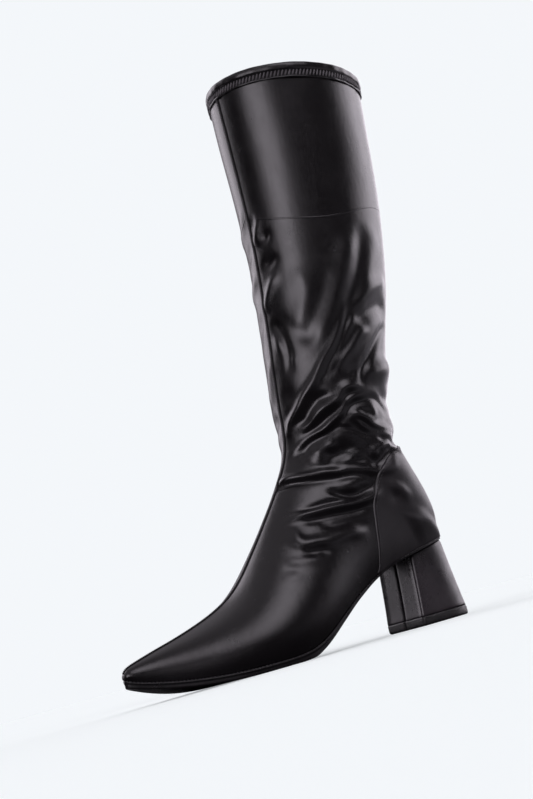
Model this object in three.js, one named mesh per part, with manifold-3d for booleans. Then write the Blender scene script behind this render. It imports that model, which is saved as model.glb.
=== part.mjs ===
// Knee-high boot, left foot: a soft pull-on shaft over a pointed foot, on a wrapped block heel.
// Millimetres. +X points to the toe, +Y to the wearer's left (the outer side), +Z up.
// The form is drawn from the back of the heel, and the finished boot has its origin in the
// middle of the heel's ground face.

import * as THREE from 'three';
import Module from 'manifold-3d';

const wasm = await Module();
wasm.setup();

// Foot and last
const FOOT_LENGTH = 252;
const BALL_WIDTH = 78;
const SEAT_RISE = 52;
const TREAD_START = 154;
const TREAD_END = 176;
const TOE_SPRING_RADIUS = 220;

// Ankle and shaft
const ANKLE_X = 62;
const ANKLE_HEIGHT = 128;
const SHAFT_LENGTH = 259;
const SHAFT_LEAN = THREE.MathUtils.degToRad(9);
const COLLAR_DEPTH = 110;
const COLLAR_WIDTH = 99;

// Upper and what is sewn on it
const WALL = 1.4;
const LASTING_MARGIN = 11;
const COUNTER_THICKNESS = 0.8;
const SEAM_WIDTH = 3.2;
const SEAM_THICKNESS = 0.8;
const BAND_HEIGHT = 9.5;
const BAND_THICKNESS = 0.9;

// Sole, insole and heel
const SOLE_THICKNESS = 4;
const SEAT_SOLE_THICKNESS = 1.8;
const SOLE_RIDGE = 0.7;
const SOLE_RIDGE_HEIGHT = 1.3;
const RIDGE_UNDERCUT = 0.1;
const SOLE_BEVEL = 1;
const INSOLE_THICKNESS = 1.8;
const INSOLE_MARGIN = 1.3;
const HEEL_LENGTH = 46;
const HEEL_WIDTH = 45;
const HEEL_BACK_RAKE = 5.5;
const HEEL_BREAST_RAKE = 5;
const HEEL_SIDE_RAKE = 1;
const HEEL_CORNER = 3;
const BREAST_GROOVE_WIDTH = 1.4;
const BREAST_GROOVE_DEPTH = 0.8;
const LIFT_THICKNESS = 6;
const LIFT_EDGE = 0.8;

// Extra room between the heel's top and the rounded seat
const SEAT_ROOM = 0.35;

// Free space between two pieces that meet
const CLEARANCE = 0.3;

// Feather line behind the tread, where the upper meets the sole.
// x is a share of FOOT_LENGTH, rise a share of SEAT_RISE above the tread.
const ARCH = table(['x', 'rise'], [
  [-0.02, 1.005],
  [0.02, 0.985],
  [0.06, 0.958],
  [0.12, 0.905],
  [0.18, 0.852],
  [0.235, 0.795],
  [0.29, 0.705],
  [0.345, 0.585],
  [0.4, 0.45],
  [0.45, 0.31],
  [0.495, 0.18],
  [0.535, 0.075],
  [0.57, 0.012],
  [0.61, 0],
  [0.66, 0],
]);

// Outline of the sole. x is a share of FOOT_LENGTH, middle and half are shares of BALL_WIDTH.
const SOLE_OUTLINE = table(['x', 'middle', 'half'], [
  [0.014, 0, 0],
  [0.016, 0, 0.05],
  [0.022, 0, 0.115],
  [0.036, 0, 0.185],
  [0.06, 0, 0.245],
  [0.095, 0, 0.292],
  [0.14, 0, 0.32],
  [0.19, 0.008, 0.328],
  [0.25, 0.022, 0.318],
  [0.31, 0.042, 0.315],
  [0.37, 0.062, 0.335],
  [0.43, 0.07, 0.38],
  [0.49, 0.07, 0.425],
  [0.55, 0.055, 0.465],
  [0.61, 0.032, 0.49],
  [0.665, 0.01, 0.487],
  [0.72, -0.012, 0.453],
  [0.775, -0.028, 0.395],
  [0.83, -0.038, 0.318],
  [0.885, -0.042, 0.225],
  [0.93, -0.04, 0.15],
  [0.965, -0.036, 0.092],
  [0.985, -0.033, 0.062],
  [0.9955, -0.031, 0.035],
  [1, -0.03, 0],
]);

// Sections of the foot, a fan from the toe to the ankle. lowX and topX are shares of FOOT_LENGTH,
// lowZ and topZ of ANKLE_HEIGHT (a lowZ of null lies on the feather line), outer and inner are
// half widths as shares of BALL_WIDTH. wideAt is the widest height as a share of the section,
// lowRound and topRound are the exponents of its lower and upper curves.
const FOOT_SECTIONS = table(
  ['lowX', 'lowZ', 'topX', 'topZ', 'outer', 'inner', 'wideAt', 'lowRound', 'topRound'],
  [
    [0.9985, 0.1425, 0.9985, 0.168, 0.03, 0.03, 0.5, 1.6, 2],
    [0.9955, 0.1375, 0.994, 0.184, 0.052, 0.052, 0.45, 1.3, 2],
    [0.985, null, 0.981, 0.199, 0.078, 0.078, 0.4, 1.1, 2],
    [0.955, null, 0.951, 0.214, 0.118, 0.118, 0.36, 1, 1.95],
    [0.905, null, 0.9, 0.24, 0.205, 0.205, 0.32, 1, 1.9],
    [0.85, null, 0.843, 0.267, 0.3, 0.3, 0.3, 1, 1.85],
    [0.79, null, 0.783, 0.3, 0.395, 0.392, 0.28, 1, 1.8],
    [0.73, null, 0.727, 0.337, 0.47, 0.465, 0.27, 1, 1.8],
    [0.67, null, 0.678, 0.388, 0.517, 0.507, 0.27, 1, 1.8],
    [0.61, null, 0.641, 0.45, 0.53, 0.515, 0.28, 1, 1.8],
    [0.548, null, 0.607, 0.522, 0.512, 0.498, 0.3, 1, 1.8],
    [0.48, null, 0.573, 0.597, 0.478, 0.462, 0.33, 1, 1.8],
    [0.41, null, 0.542, 0.665, 0.448, 0.432, 0.37, 1, 1.8],
    [0.335, null, 0.512, 0.733, 0.428, 0.417, 0.42, 1, 1.8],
    [0.258, null, 0.483, 0.797, 0.42, 0.413, 0.46, 1, 1.8],
    [0.18, null, 0.457, 0.86, 0.42, 0.416, 0.48, 1, 1.82],
    [0.112, null, 0.435, 0.918, 0.424, 0.422, 0.49, 1.05, 1.84],
    [0.064, null, 0.42, 0.962, 0.428, 0.427, 0.48, 1.2, 1.86],
    [0.034, null, 0.41, 0.996, 0.432, 0.432, 0.46, 1.5, 1.88],
    [0.024, 0.455, 0.402, 1.032, 0.436, 0.436, 0.44, 1.8, 1.9],
    [0.022, 0.51, 0.396, 1.068, 0.44, 0.442, 0.42, 2, 1.92],
    [0.029, 0.595, 0.391, 1.103, 0.445, 0.449, 0.41, 2, 1.94],
    [0.045, 0.69, 0.388, 1.137, 0.45, 0.455, 0.41, 2, 1.96],
    [0.063, 0.79, 0.386, 1.17, 0.455, 0.461, 0.42, 2, 1.98],
    [0.08, 0.89, 0.384, 1.204, 0.461, 0.467, 0.44, 2, 2],
    [0.087, 0.985, 0.383, 1.24, 0.466, 0.472, 0.46, 2, 2],
  ],
);

// Sections square to the shaft's axis. up is a share of SHAFT_LENGTH above the ankle, depth and
// bow (how far the calf swells to the back) are shares of COLLAR_DEPTH, width of COLLAR_WIDTH.
const SHAFT_SECTIONS = table(['up', 'depth', 'width', 'bow'], [
  [0.115, 0.735, 0.765, 0.012],
  [0.2, 0.755, 0.775, 0.02],
  [0.28, 0.78, 0.8, 0.036],
  [0.37, 0.822, 0.84, 0.054],
  [0.46, 0.858, 0.872, 0.068],
  [0.55, 0.887, 0.9, 0.072],
  [0.64, 0.913, 0.925, 0.066],
  [0.73, 0.938, 0.945, 0.052],
  [0.82, 0.962, 0.965, 0.034],
  [0.91, 0.984, 0.985, 0.016],
  [1, 1, 1, 0],
  [1.06, 1.01, 1.01, 0],
]);

// Edge of the counter from the sole up its front side to the back of the ankle.
// x is a share of FOOT_LENGTH, rise the share of the way from the sole up to ANKLE_HEIGHT.
const COUNTER_EDGE = table(['x', 'rise'], [
  [0.298, 0],
  [0.293, 0.009],
  [0.287, 0.12],
  [0.281, 0.232],
  [0.276, 0.347],
  [0.268, 0.476],
  [0.25, 0.604],
  [0.222, 0.719],
  [0.18, 0.815],
  [0.12, 0.891],
  [0.03, 0.938],
  [-0.08, 0.947],
]);

// Where the hollow starts behind the toe, in sections of the foot
const INSIDE_START = 1.6;

// Fineness of the faceted forms
const STATION_STEP = 0.74;
const TOP_STEPS = 10;
const LOW_STEPS = 4;
const FLAT_STEPS = 2;
const HEEL_LEVELS = 6;

function table(columns, rows) {
  return rows.map((row) => Object.fromEntries(columns.map((name, index) => [name, row[index]])));
}

// Smooth curve through one column of a table, with no overshoot between its rows.
function curveAt(rows, column, x) {
  const last = rows.length - 1;
  const slope = (i) => (rows[i + 1][column] - rows[i][column]) / (rows[i + 1].x - rows[i].x);
  const tangent = (i) => {
    if (i === 0) return slope(0);
    if (i === last) return slope(last - 1);
    const before = slope(i - 1);
    const after = slope(i);
    return before * after > 0 ? (2 * before * after) / (before + after) : 0;
  };
  let i = 0;
  while (i < last - 1 && rows[i + 1].x < x) i += 1;
  const span = rows[i + 1].x - rows[i].x;
  const t = THREE.MathUtils.clamp((x - rows[i].x) / span, 0, 1);
  const start = (1 + 2 * t) * (1 - t) ** 2 * rows[i][column];
  const leave = span * t * (1 - t) ** 2 * tangent(i);
  const end = t * t * (3 - 2 * t) * rows[i + 1][column];
  const arrive = span * t * t * (t - 1) * tangent(i + 1);
  return start + leave + end + arrive;
}

// Height of the sole's underside in front of the arch: flat on the tread, then the toe spring.
function springHeight(x) {
  const ahead = Math.max(x - TREAD_END, 0);
  return TOE_SPRING_RADIUS - Math.sqrt(TOE_SPRING_RADIUS ** 2 - ahead ** 2);
}

function featherHeight(x) {
  const rise = x < TREAD_START ? SEAT_RISE * curveAt(ARCH, 'rise', x / FOOT_LENGTH) : springHeight(x);
  return rise + SOLE_THICKNESS;
}

function soleThickness(x) {
  const share = THREE.MathUtils.smoothstep(x, HEEL_LENGTH, TREAD_START);
  return THREE.MathUtils.lerp(SEAT_SOLE_THICKNESS, SOLE_THICKNESS, share);
}

function soleBottom(x) {
  return featherHeight(x) - soleThickness(x);
}

function outlineAt(x) {
  const share = x / FOOT_LENGTH;
  return {
    middle: curveAt(SOLE_OUTLINE, 'middle', share) * BALL_WIDTH,
    half: curveAt(SOLE_OUTLINE, 'half', share) * BALL_WIDTH,
  };
}

// A row of the form as plain numbers in millimetres, which the spline then blends.
function footRow(section) {
  const lowX = section.lowX * FOOT_LENGTH;
  const onFeather = section.lowZ === null;
  const outline = outlineAt(lowX);
  const toeward = THREE.MathUtils.smoothstep(section.lowX, 0.5, 0.85);
  return {
    lowX,
    lowZ: onFeather ? featherHeight(lowX) : section.lowZ * ANKLE_HEIGHT,
    topX: section.topX * FOOT_LENGTH,
    topZ: section.topZ * ANKLE_HEIGHT,
    outer: section.outer * BALL_WIDTH,
    inner: section.inner * BALL_WIDTH,
    wideAt: section.wideAt,
    lowRound: section.lowRound,
    topRound: section.topRound,
    flat: onFeather ? outline.half : 0,
    lowMiddle: outline.middle,
    topMiddle: outline.middle * THREE.MathUtils.mapLinear(toeward, 0, 1, 0.5, 1),
  };
}

function shaftPoint(up, across) {
  return {
    x: ANKLE_X - Math.sin(SHAFT_LEAN) * up + Math.cos(SHAFT_LEAN) * across,
    z: ANKLE_HEIGHT + Math.cos(SHAFT_LEAN) * up + Math.sin(SHAFT_LEAN) * across,
  };
}

function shaftRow(section) {
  const up = section.up * SHAFT_LENGTH;
  const middle = -section.bow * COLLAR_DEPTH;
  const low = shaftPoint(up, middle - (section.depth * COLLAR_DEPTH) / 2);
  const top = shaftPoint(up, middle + (section.depth * COLLAR_DEPTH) / 2);
  return {
    lowX: low.x,
    lowZ: low.z,
    topX: top.x,
    topZ: top.z,
    outer: (section.width * COLLAR_WIDTH) / 2,
    inner: (section.width * COLLAR_WIDTH) / 2,
    wideAt: 0.5,
    lowRound: 2,
    topRound: 2,
    flat: 0,
    lowMiddle: 0,
    topMiddle: 0,
  };
}

const FORM_ROWS = [...FOOT_SECTIONS.map(footRow), ...SHAFT_SECTIONS.map(shaftRow)];
const LAST_ROW = FORM_ROWS.length - 1;
const ROW_KEYS = Object.keys(FORM_ROWS[0]);

// Cubic B-spline through the rows of the form, whole row numbers near their own section.
function blendedRow(place) {
  const i = Math.min(Math.floor(place), LAST_ROW - 1);
  const t = place - i;
  const row = (k, key) => {
    if (k < 0) return 2 * FORM_ROWS[0][key] - FORM_ROWS[1][key];
    if (k > LAST_ROW) return 2 * FORM_ROWS[LAST_ROW][key] - FORM_ROWS[LAST_ROW - 1][key];
    return FORM_ROWS[k][key];
  };
  const weights = [
    (1 - t) ** 3,
    3 * t ** 3 - 6 * t ** 2 + 4,
    -3 * t ** 3 + 3 * t ** 2 + 3 * t + 1,
    t ** 3,
  ];
  const blend = (key) => weights.reduce((sum, w, k) => sum + (w / 6) * row(i - 1 + k, key), 0);
  return Object.fromEntries(ROW_KEYS.map((key) => [key, blend(key)]));
}

// Unit normal of the form's low or top line in the XZ plane, pointing out of the form.
function lineNormal(place, end) {
  const step = 0.05;
  const before = blendedRow(Math.max(place - step, 0));
  const after = blendedRow(Math.min(place + step, LAST_ROW));
  const here = blendedRow(place);
  const along = new THREE.Vector2(after[`${end}X`] - before[`${end}X`], after[`${end}Z`] - before[`${end}Z`]);
  const normal = new THREE.Vector2(along.y, -along.x).normalize();
  const towards = new THREE.Vector2(here.topX - here.lowX, here.topZ - here.lowZ);
  const facing = end === 'top' ? normal.dot(towards) : -normal.dot(towards);
  return facing < 0 ? normal.negate() : normal;
}

// The form's row moved out by offset, or in where offset is negative.
function offsetRow(place, offset) {
  const row = blendedRow(place);
  const top = lineNormal(place, 'top');
  const low = lineNormal(place, 'low');
  return {
    ...row,
    topX: row.topX + offset * top.x,
    topZ: row.topZ + offset * top.y,
    lowX: row.lowX + offset * low.x,
    lowZ: row.lowZ + offset * low.y,
    outer: row.outer + offset,
    inner: row.inner + offset,
    flat: row.flat > 0.01 ? Math.max(row.flat + offset, 0) : row.flat,
  };
}

// One side of a section from the top ridge down to the edge of the flat, as height share and
// distance from the middle.
function sideProfile(row, half) {
  const points = [];
  for (let i = TOP_STEPS; i >= 0; i -= 1) {
    const angle = (i / TOP_STEPS) * (Math.PI / 2);
    const rise = Math.sin(angle) ** (2 / row.topRound);
    const reach = Math.max(Math.cos(angle), 0) ** (2 / row.topRound);
    points.push({ share: row.wideAt + (1 - row.wideAt) * rise, across: half * reach });
  }
  const flat = Math.min(row.flat, half);
  for (let i = 1; i <= LOW_STEPS; i += 1) {
    const angle = (i / LOW_STEPS) * (Math.PI / 2);
    const reach = Math.max(Math.cos(angle), 0) ** (2 / row.lowRound);
    points.push({ share: row.wideAt * (1 - Math.sin(angle)), across: flat + (half - flat) * reach });
  }
  return points;
}

// Closed ring of points round one section of the form.
function sectionRing(place, offset) {
  const row = offsetRow(place, offset);
  const outer = sideProfile(row, row.outer);
  const inner = sideProfile(row, row.inner).map((p) => ({ share: p.share, across: -p.across }));
  const from = outer[outer.length - 1].across;
  const to = inner[inner.length - 1].across;
  const flat = [];
  for (let i = 1; i < FLAT_STEPS; i += 1) {
    flat.push({ share: 0, across: THREE.MathUtils.lerp(from, to, i / FLAT_STEPS) });
  }
  const around = [...outer, ...flat, ...inner.slice(1).reverse()];
  return around.map(({ share, across }) => {
    const middle = THREE.MathUtils.lerp(row.lowMiddle, row.topMiddle, share);
    return new THREE.Vector3(
      THREE.MathUtils.lerp(row.lowX, row.topX, share),
      middle + across,
      THREE.MathUtils.lerp(row.lowZ, row.topZ, share),
    );
  });
}

// Stations of a stretch of the form. All forms share them, so that their facets lie parallel.
function places(from, to) {
  const inside = [];
  for (let i = Math.ceil(from / STATION_STEP + 0.1); i * STATION_STEP < to - 0.05; i += 1) {
    inside.push(i * STATION_STEP);
  }
  return [from, ...inside, to];
}

// Closed solid through a list of rings that all have the same number of points.
function loft(rings) {
  const size = rings[0].length;
  const points = rings.flat();
  const faces = [];
  for (let r = 0; r < rings.length - 1; r += 1) {
    for (let i = 0; i < size; i += 1) {
      const a = r * size + i;
      const b = r * size + ((i + 1) % size);
      faces.push([a, b, b + size], [a, b + size, a + size]);
    }
  }
  for (const [ring, start, flip] of [[rings[0], 0, true], [rings.at(-1), points.length - size, false]]) {
    const middle = ring.reduce((sum, p) => sum.add(p), new THREE.Vector3()).divideScalar(size);
    points.push(middle);
    const hub = points.length - 1;
    for (let i = 0; i < size; i += 1) {
      const a = start + i;
      const b = start + ((i + 1) % size);
      faces.push(flip ? [hub, b, a] : [hub, a, b]);
    }
  }
  return solidFrom(points, faces);
}

function solidFrom(points, faces) {
  let volume = 0;
  for (const [a, b, c] of faces) {
    volume += points[a].dot(new THREE.Vector3().crossVectors(points[b], points[c]));
  }
  const triangles = volume < 0 ? faces.map(([a, b, c]) => [a, c, b]) : faces;
  const mesh = new wasm.Mesh({
    numProp: 3,
    vertProperties: Float32Array.from(points.flatMap((p) => [p.x, p.y, p.z])),
    triVerts: Uint32Array.from(triangles.flat()),
  });
  return new wasm.Manifold(mesh);
}

function form(offset, from = 0, to = LAST_ROW) {
  return loft(places(from, to).map((place) => sectionRing(place, offset)));
}

// Everything above a plane square to the shaft's axis, up millimetres above the ankle.
function shaftAbove(up) {
  const reach = 2 * COLLAR_DEPTH;
  const corners = [[-reach, -reach], [reach, -reach], [reach, reach], [-reach, reach]];
  const level = (height) => corners.map(([across, y]) => {
    const point = shaftPoint(height, across);
    return new THREE.Vector3(point.x, y, point.z);
  });
  return loft([level(up), level(up + reach)]);
}

// Height of the form's low line at x, which the spline rounds a little from the feather line.
const LOW_LINE = places(0, FOOT_SECTIONS.length - 8)
  .map((place) => blendedRow(place))
  .map((row) => ({ x: row.lowX, z: row.lowZ }))
  .reverse();

function lowLineHeight(x) {
  const after = LOW_LINE.findIndex((point) => point.x > x);
  if (after === -1) return LOW_LINE.at(-1).z;
  if (after === 0) return LOW_LINE[0].z;
  const [a, b] = [LOW_LINE[after - 1], LOW_LINE[after]];
  return THREE.MathUtils.mapLinear(x, a.x, b.x, a.z, b.z);
}

// Stations of the sole: those of the form above it, and the rows of its own outline.
function soleStations() {
  const own = SOLE_OUTLINE.map(({ x }) => x * FOOT_LENGTH);
  const shared = LOW_LINE.map(({ x }) => x).filter((x) => own.every((o) => Math.abs(o - x) > 0.7));
  return [...own, ...shared].sort((p, q) => p - q);
}

// Solid over the sole's outline, through half sections that profileAt gives for each station as
// [inset, height] pairs from the top down. A positive grow widens the outline, a negative one
// draws it in and drops its narrow ends.
function slab(grow, profileAt) {
  const back = SOLE_OUTLINE[0].x * FOOT_LENGTH;
  const rings = [];
  for (const station of soleStations()) {
    const share = (station - back) / (FOOT_LENGTH - back);
    const x = THREE.MathUtils.lerp(back - grow, FOOT_LENGTH + grow, share);
    const { middle, half } = outlineAt(station);
    const spread = grow * Math.sin(Math.PI * share) ** 0.3;
    const reach = grow < 0 ? half + grow : Math.max(half + spread, 0.1);
    if (reach < 0.1) continue;
    const side = profileAt(x).map(([inset, height]) => [Math.max(reach - inset, reach / 2), height]);
    const ring = [
      ...side.map(([across, height]) => new THREE.Vector3(x, middle + across, height)),
      ...side.reverse().map(([across, height]) => new THREE.Vector3(x, middle - across, height)),
    ];
    rings.push(ring);
  }
  return loft(rings);
}

function plainSlab(grow, lowAt, highAt) {
  return slab(grow, (x) => [[0, highAt(x)], [0, lowAt(x)]]);
}

function makeUpper() {
  const inside = form(-WALL, INSIDE_START);
  const roomBelow = (x) => lowLineHeight(x) - WALL;
  const roomAbove = (x) => lowLineHeight(x) + 2 * WALL;
  const opening = plainSlab(-LASTING_MARGIN, roomBelow, roomAbove);
  return form(0).subtract(inside).subtract(opening).subtract(shaftAbove(SHAFT_LENGTH));
}

function makeCounter() {
  const from = 10;
  const to = FOOT_SECTIONS.length + 1;
  const shell = form(CLEARANCE + COUNTER_THICKNESS, from, to).subtract(form(CLEARANCE, from - 1, to + 1));
  const lowest = (x) => lowLineHeight(x) + CLEARANCE;
  const edge = COUNTER_EDGE.map(({ x, rise }) => {
    const along = x * FOOT_LENGTH;
    return [along, THREE.MathUtils.lerp(lowest(along), ANKLE_HEIGHT, rise)];
  });
  const foot = [];
  for (let i = 0; i < 12; i += 1) {
    const x = THREE.MathUtils.lerp(COUNTER_EDGE.at(-1).x, COUNTER_EDGE[0].x, i / 12) * FOOT_LENGTH;
    foot.push([x, lowest(x)]);
  }
  const outline = [...edge, ...foot];
  const side = (y) => outline.map(([x, z]) => new THREE.Vector3(x, y, z));
  return shell.intersect(prism(side(-BALL_WIDTH), side(BALL_WIDTH)));
}

// Solid between two equal outlines, which may be hollow in places.
function prism(near, far) {
  const flat = near.map((p) => new THREE.Vector2(p.x, p.z));
  const caps = THREE.ShapeUtils.triangulateShape(flat, []);
  const size = near.length;
  const faces = caps.flatMap(([a, b, c]) => [[a, c, b], [a + size, b + size, c + size]]);
  const turn = THREE.ShapeUtils.isClockWise(flat);
  for (let i = 0; i < size; i += 1) {
    const next = (i + 1) % size;
    const wall = [[i, next, next + size], [i, next + size, i + size]];
    faces.push(...(turn ? wall.map(([a, b, c]) => [a, c, b]) : wall));
  }
  return solidFrom([...near, ...far], faces);
}

function makeFrontSeam() {
  const end = LAST_ROW - 1;
  const rings = places(0.4, end).map((place) => {
    const row = blendedRow(place);
    const normal = lineNormal(place, 'top');
    const half = Math.min(SEAM_WIDTH / 2, row.outer * 0.4);
    const corner = (across, lift) => new THREE.Vector3(
      row.topX + normal.x * lift,
      row.topMiddle + across,
      row.topZ + normal.y * lift,
    );
    return [
      corner(-half, CLEARANCE),
      corner(half, CLEARANCE),
      corner(half * 0.8, CLEARANCE + SEAM_THICKNESS),
      corner(-half * 0.8, CLEARANCE + SEAM_THICKNESS),
    ];
  });
  const cutOff = shaftAbove(SHAFT_LENGTH - BAND_HEIGHT - CLEARANCE);
  return loft(rings).subtract(cutOff);
}

function makeCollarBand() {
  const from = LAST_ROW - 2.6;
  const top = SHAFT_LENGTH + CLEARANCE + BAND_THICKNESS;
  const skin = CLEARANCE + BAND_THICKNESS;
  const whole = form(skin, from).subtract(form(-WALL - skin, from - 0.5));
  const core = form(CLEARANCE, from - 0.5).subtract(form(-WALL - CLEARANCE, from - 1));
  const room = core.subtract(shaftAbove(SHAFT_LENGTH + CLEARANCE));
  const strip = whole.intersect(shaftAbove(SHAFT_LENGTH - BAND_HEIGHT)).subtract(shaftAbove(top));
  return strip.subtract(room);
}

// The sole's side has a thin ridge along its top edge and a bevelled lower edge.
function makeOutsole() {
  const profileAt = (x) => {
    const high = lowLineHeight(x) - CLEARANCE;
    const low = Math.min(soleBottom(x), high - SEAT_SOLE_THICKNESS / 2);
    const ridgeLow = high - Math.min(SOLE_RIDGE_HEIGHT, (high - low) / 3);
    const bevel = Math.min(SOLE_BEVEL, (high - low) / 3);
    const ridge = [[-SOLE_RIDGE, high], [-SOLE_RIDGE, ridgeLow]];
    return [...ridge, [0, ridgeLow - RIDGE_UNDERCUT], [0, low + bevel], [bevel, low]];
  };
  return slab(0, profileAt);
}

// Board on the lasting margin, with a filler below it in the upper's opening.
function makeInsole() {
  const seat = (x) => lowLineHeight(x) + 1.25 * WALL + 2 * CLEARANCE;
  const boardTop = (x) => seat(x) + INSOLE_THICKNESS;
  const fillLow = (x) => lowLineHeight(x) + CLEARANCE;
  const cavity = form(-WALL - CLEARANCE, INSIDE_START, FOOT_SECTIONS.length);
  const board = plainSlab(-WALL - CLEARANCE - INSOLE_MARGIN, seat, boardTop).intersect(cavity);
  const filler = plainSlab(-LASTING_MARGIN - CLEARANCE, fillLow, boardTop);
  return board.add(filler);
}

// Outline of the heel block at one height: a round back, straight sides and a grooved breast.
function heelRing(z, share, grow = 0) {
  const back = share * HEEL_BACK_RAKE - grow;
  const breast = HEEL_LENGTH - share * HEEL_BREAST_RAKE + grow;
  const half = HEEL_WIDTH / 2 - share * HEEL_SIDE_RAKE + grow;
  const roundEnd = back + half;
  const points = [];
  for (let i = 0; i <= 18; i += 1) {
    const angle = Math.PI / 2 + (Math.PI * i) / 18;
    const bulge = 2 / 2.25;
    const x = roundEnd + half * -(Math.abs(Math.cos(angle)) ** bulge);
    const y = half * Math.sign(Math.sin(angle)) * Math.abs(Math.sin(angle)) ** bulge;
    points.push([x, y]);
  }
  for (const side of [-1, 1]) {
    const arc = [];
    for (let i = 0; i <= 4; i += 1) {
      const angle = (Math.PI / 2) * (i / 4);
      const x = breast - HEEL_CORNER * (1 - Math.sin(angle));
      arc.push([x, side * (half - HEEL_CORNER * (1 - Math.cos(angle)))]);
    }
    const groove = BREAST_GROOVE_WIDTH / 2;
    arc.push([breast, side * groove]);
    if (side < 0) arc.push([breast - BREAST_GROOVE_DEPTH, 0]);
    points.push(...(side < 0 ? arc : arc.reverse()));
  }
  return points.map(([x, y]) => new THREE.Vector3(x, y, z));
}

function makeHeel() {
  const low = LIFT_THICKNESS + CLEARANCE;
  const high = SOLE_THICKNESS + SEAT_RISE;
  const rings = [];
  for (let i = 0; i <= HEEL_LEVELS; i += 1) {
    const share = i / HEEL_LEVELS;
    rings.push(heelRing(THREE.MathUtils.lerp(low, high, share), share ** 0.8));
  }
  const ceiling = (x) => soleBottom(x) - CLEARANCE - SEAT_ROOM;
  const roof = (x) => soleBottom(x) + 4 * SOLE_THICKNESS;
  return loft(rings).subtract(plainSlab(2 * HEEL_BACK_RAKE, ceiling, roof));
}

function makeTopLift() {
  const rings = [
    heelRing(0, 0, -LIFT_EDGE),
    heelRing(LIFT_EDGE, 0),
    heelRing(LIFT_THICKNESS, 0),
  ];
  return loft(rings);
}

// Colours, roughness and metalness of the pieces
const FINISHES = {
  leather: { color: 0x1b191b, roughness: 0.38, metalness: 0 },
  counter: { color: 0x1d1b1d, roughness: 0.34, metalness: 0 },
  seam: { color: 0x141315, roughness: 0.5, metalness: 0 },
  lining: { color: 0x3a3532, roughness: 0.85, metalness: 0 },
  sole: { color: 0x121213, roughness: 0.45, metalness: 0 },
  heel: { color: 0x161517, roughness: 0.25, metalness: 0 },
  rubber: { color: 0x0f0f10, roughness: 0.6, metalness: 0 },
};

function meshOf(name, solid, finish) {
  const source = solid.getMesh();
  const positions = new Float32Array(source.numVert * 3);
  for (let i = 0; i < source.numVert; i += 1) {
    positions.set(source.vertProperties.subarray(i * source.numProp, i * source.numProp + 3), i * 3);
  }
  const geometry = new THREE.BufferGeometry();
  geometry.setAttribute('position', new THREE.BufferAttribute(positions, 3));
  geometry.setIndex(new THREE.BufferAttribute(Uint32Array.from(source.triVerts), 1));
  geometry.computeVertexNormals();
  const mesh = new THREE.Mesh(geometry, new THREE.MeshStandardMaterial(FINISHES[finish]));
  mesh.name = name;
  return mesh;
}

const boot = new THREE.Group();
boot.position.x = -HEEL_LENGTH / 2;
boot.add(
  meshOf('upper', makeUpper(), 'leather'),
  meshOf('heel_counter', makeCounter(), 'counter'),
  meshOf('front_seam', makeFrontSeam(), 'seam'),
  meshOf('collar_band', makeCollarBand(), 'leather'),
  meshOf('insole', makeInsole(), 'lining'),
  meshOf('outsole', makeOutsole(), 'sole'),
  meshOf('heel', makeHeel(), 'heel'),
  meshOf('top_lift', makeTopLift(), 'rubber'),
);

const group = new THREE.Group();
group.add(boot);

export default group;
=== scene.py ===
"""Dresses the left knee-high boot: creased upper, seams, hem, sole and wrapped block heel.

Shapes are worked out in millimetres in the boot's own form, the same one that the solids
have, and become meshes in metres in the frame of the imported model.
"""

import logging
import math
from collections.abc import Callable
from dataclasses import dataclass, field
from enum import Enum

import bpy
import numpy as np
from mathutils import Matrix, Vector, noise


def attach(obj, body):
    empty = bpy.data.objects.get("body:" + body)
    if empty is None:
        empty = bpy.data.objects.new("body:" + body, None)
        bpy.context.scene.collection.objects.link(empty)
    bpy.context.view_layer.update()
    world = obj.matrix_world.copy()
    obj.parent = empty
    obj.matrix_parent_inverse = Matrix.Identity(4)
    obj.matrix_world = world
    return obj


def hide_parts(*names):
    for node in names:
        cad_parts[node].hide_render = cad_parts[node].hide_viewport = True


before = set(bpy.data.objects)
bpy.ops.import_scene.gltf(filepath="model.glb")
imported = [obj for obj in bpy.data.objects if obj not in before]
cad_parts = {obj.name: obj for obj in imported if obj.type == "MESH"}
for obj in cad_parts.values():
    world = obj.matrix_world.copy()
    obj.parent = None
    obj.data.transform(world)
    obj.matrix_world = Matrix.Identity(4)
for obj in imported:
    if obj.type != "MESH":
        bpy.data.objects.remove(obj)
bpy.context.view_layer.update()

logging.basicConfig(level=logging.INFO, format="%(message)s")
LOG = logging.getLogger("boot")

MM = 0.001
ON_FEATHER = math.nan

Number = float | np.ndarray
Socket = bpy.types.NodeSocket


class Side(Enum):
    """The two sides of the boot, as the sign of Y."""

    OUTER = 1
    INNER = -1


# Feather line behind the tread: share of the foot's length, share of the seat's rise.
ARCH = (
    (-0.02, 1.005),
    (0.02, 0.985),
    (0.06, 0.958),
    (0.12, 0.905),
    (0.18, 0.852),
    (0.235, 0.795),
    (0.29, 0.705),
    (0.345, 0.585),
    (0.4, 0.45),
    (0.45, 0.31),
    (0.495, 0.18),
    (0.535, 0.075),
    (0.57, 0.012),
    (0.61, 0.0),
    (0.66, 0.0),
)

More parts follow.
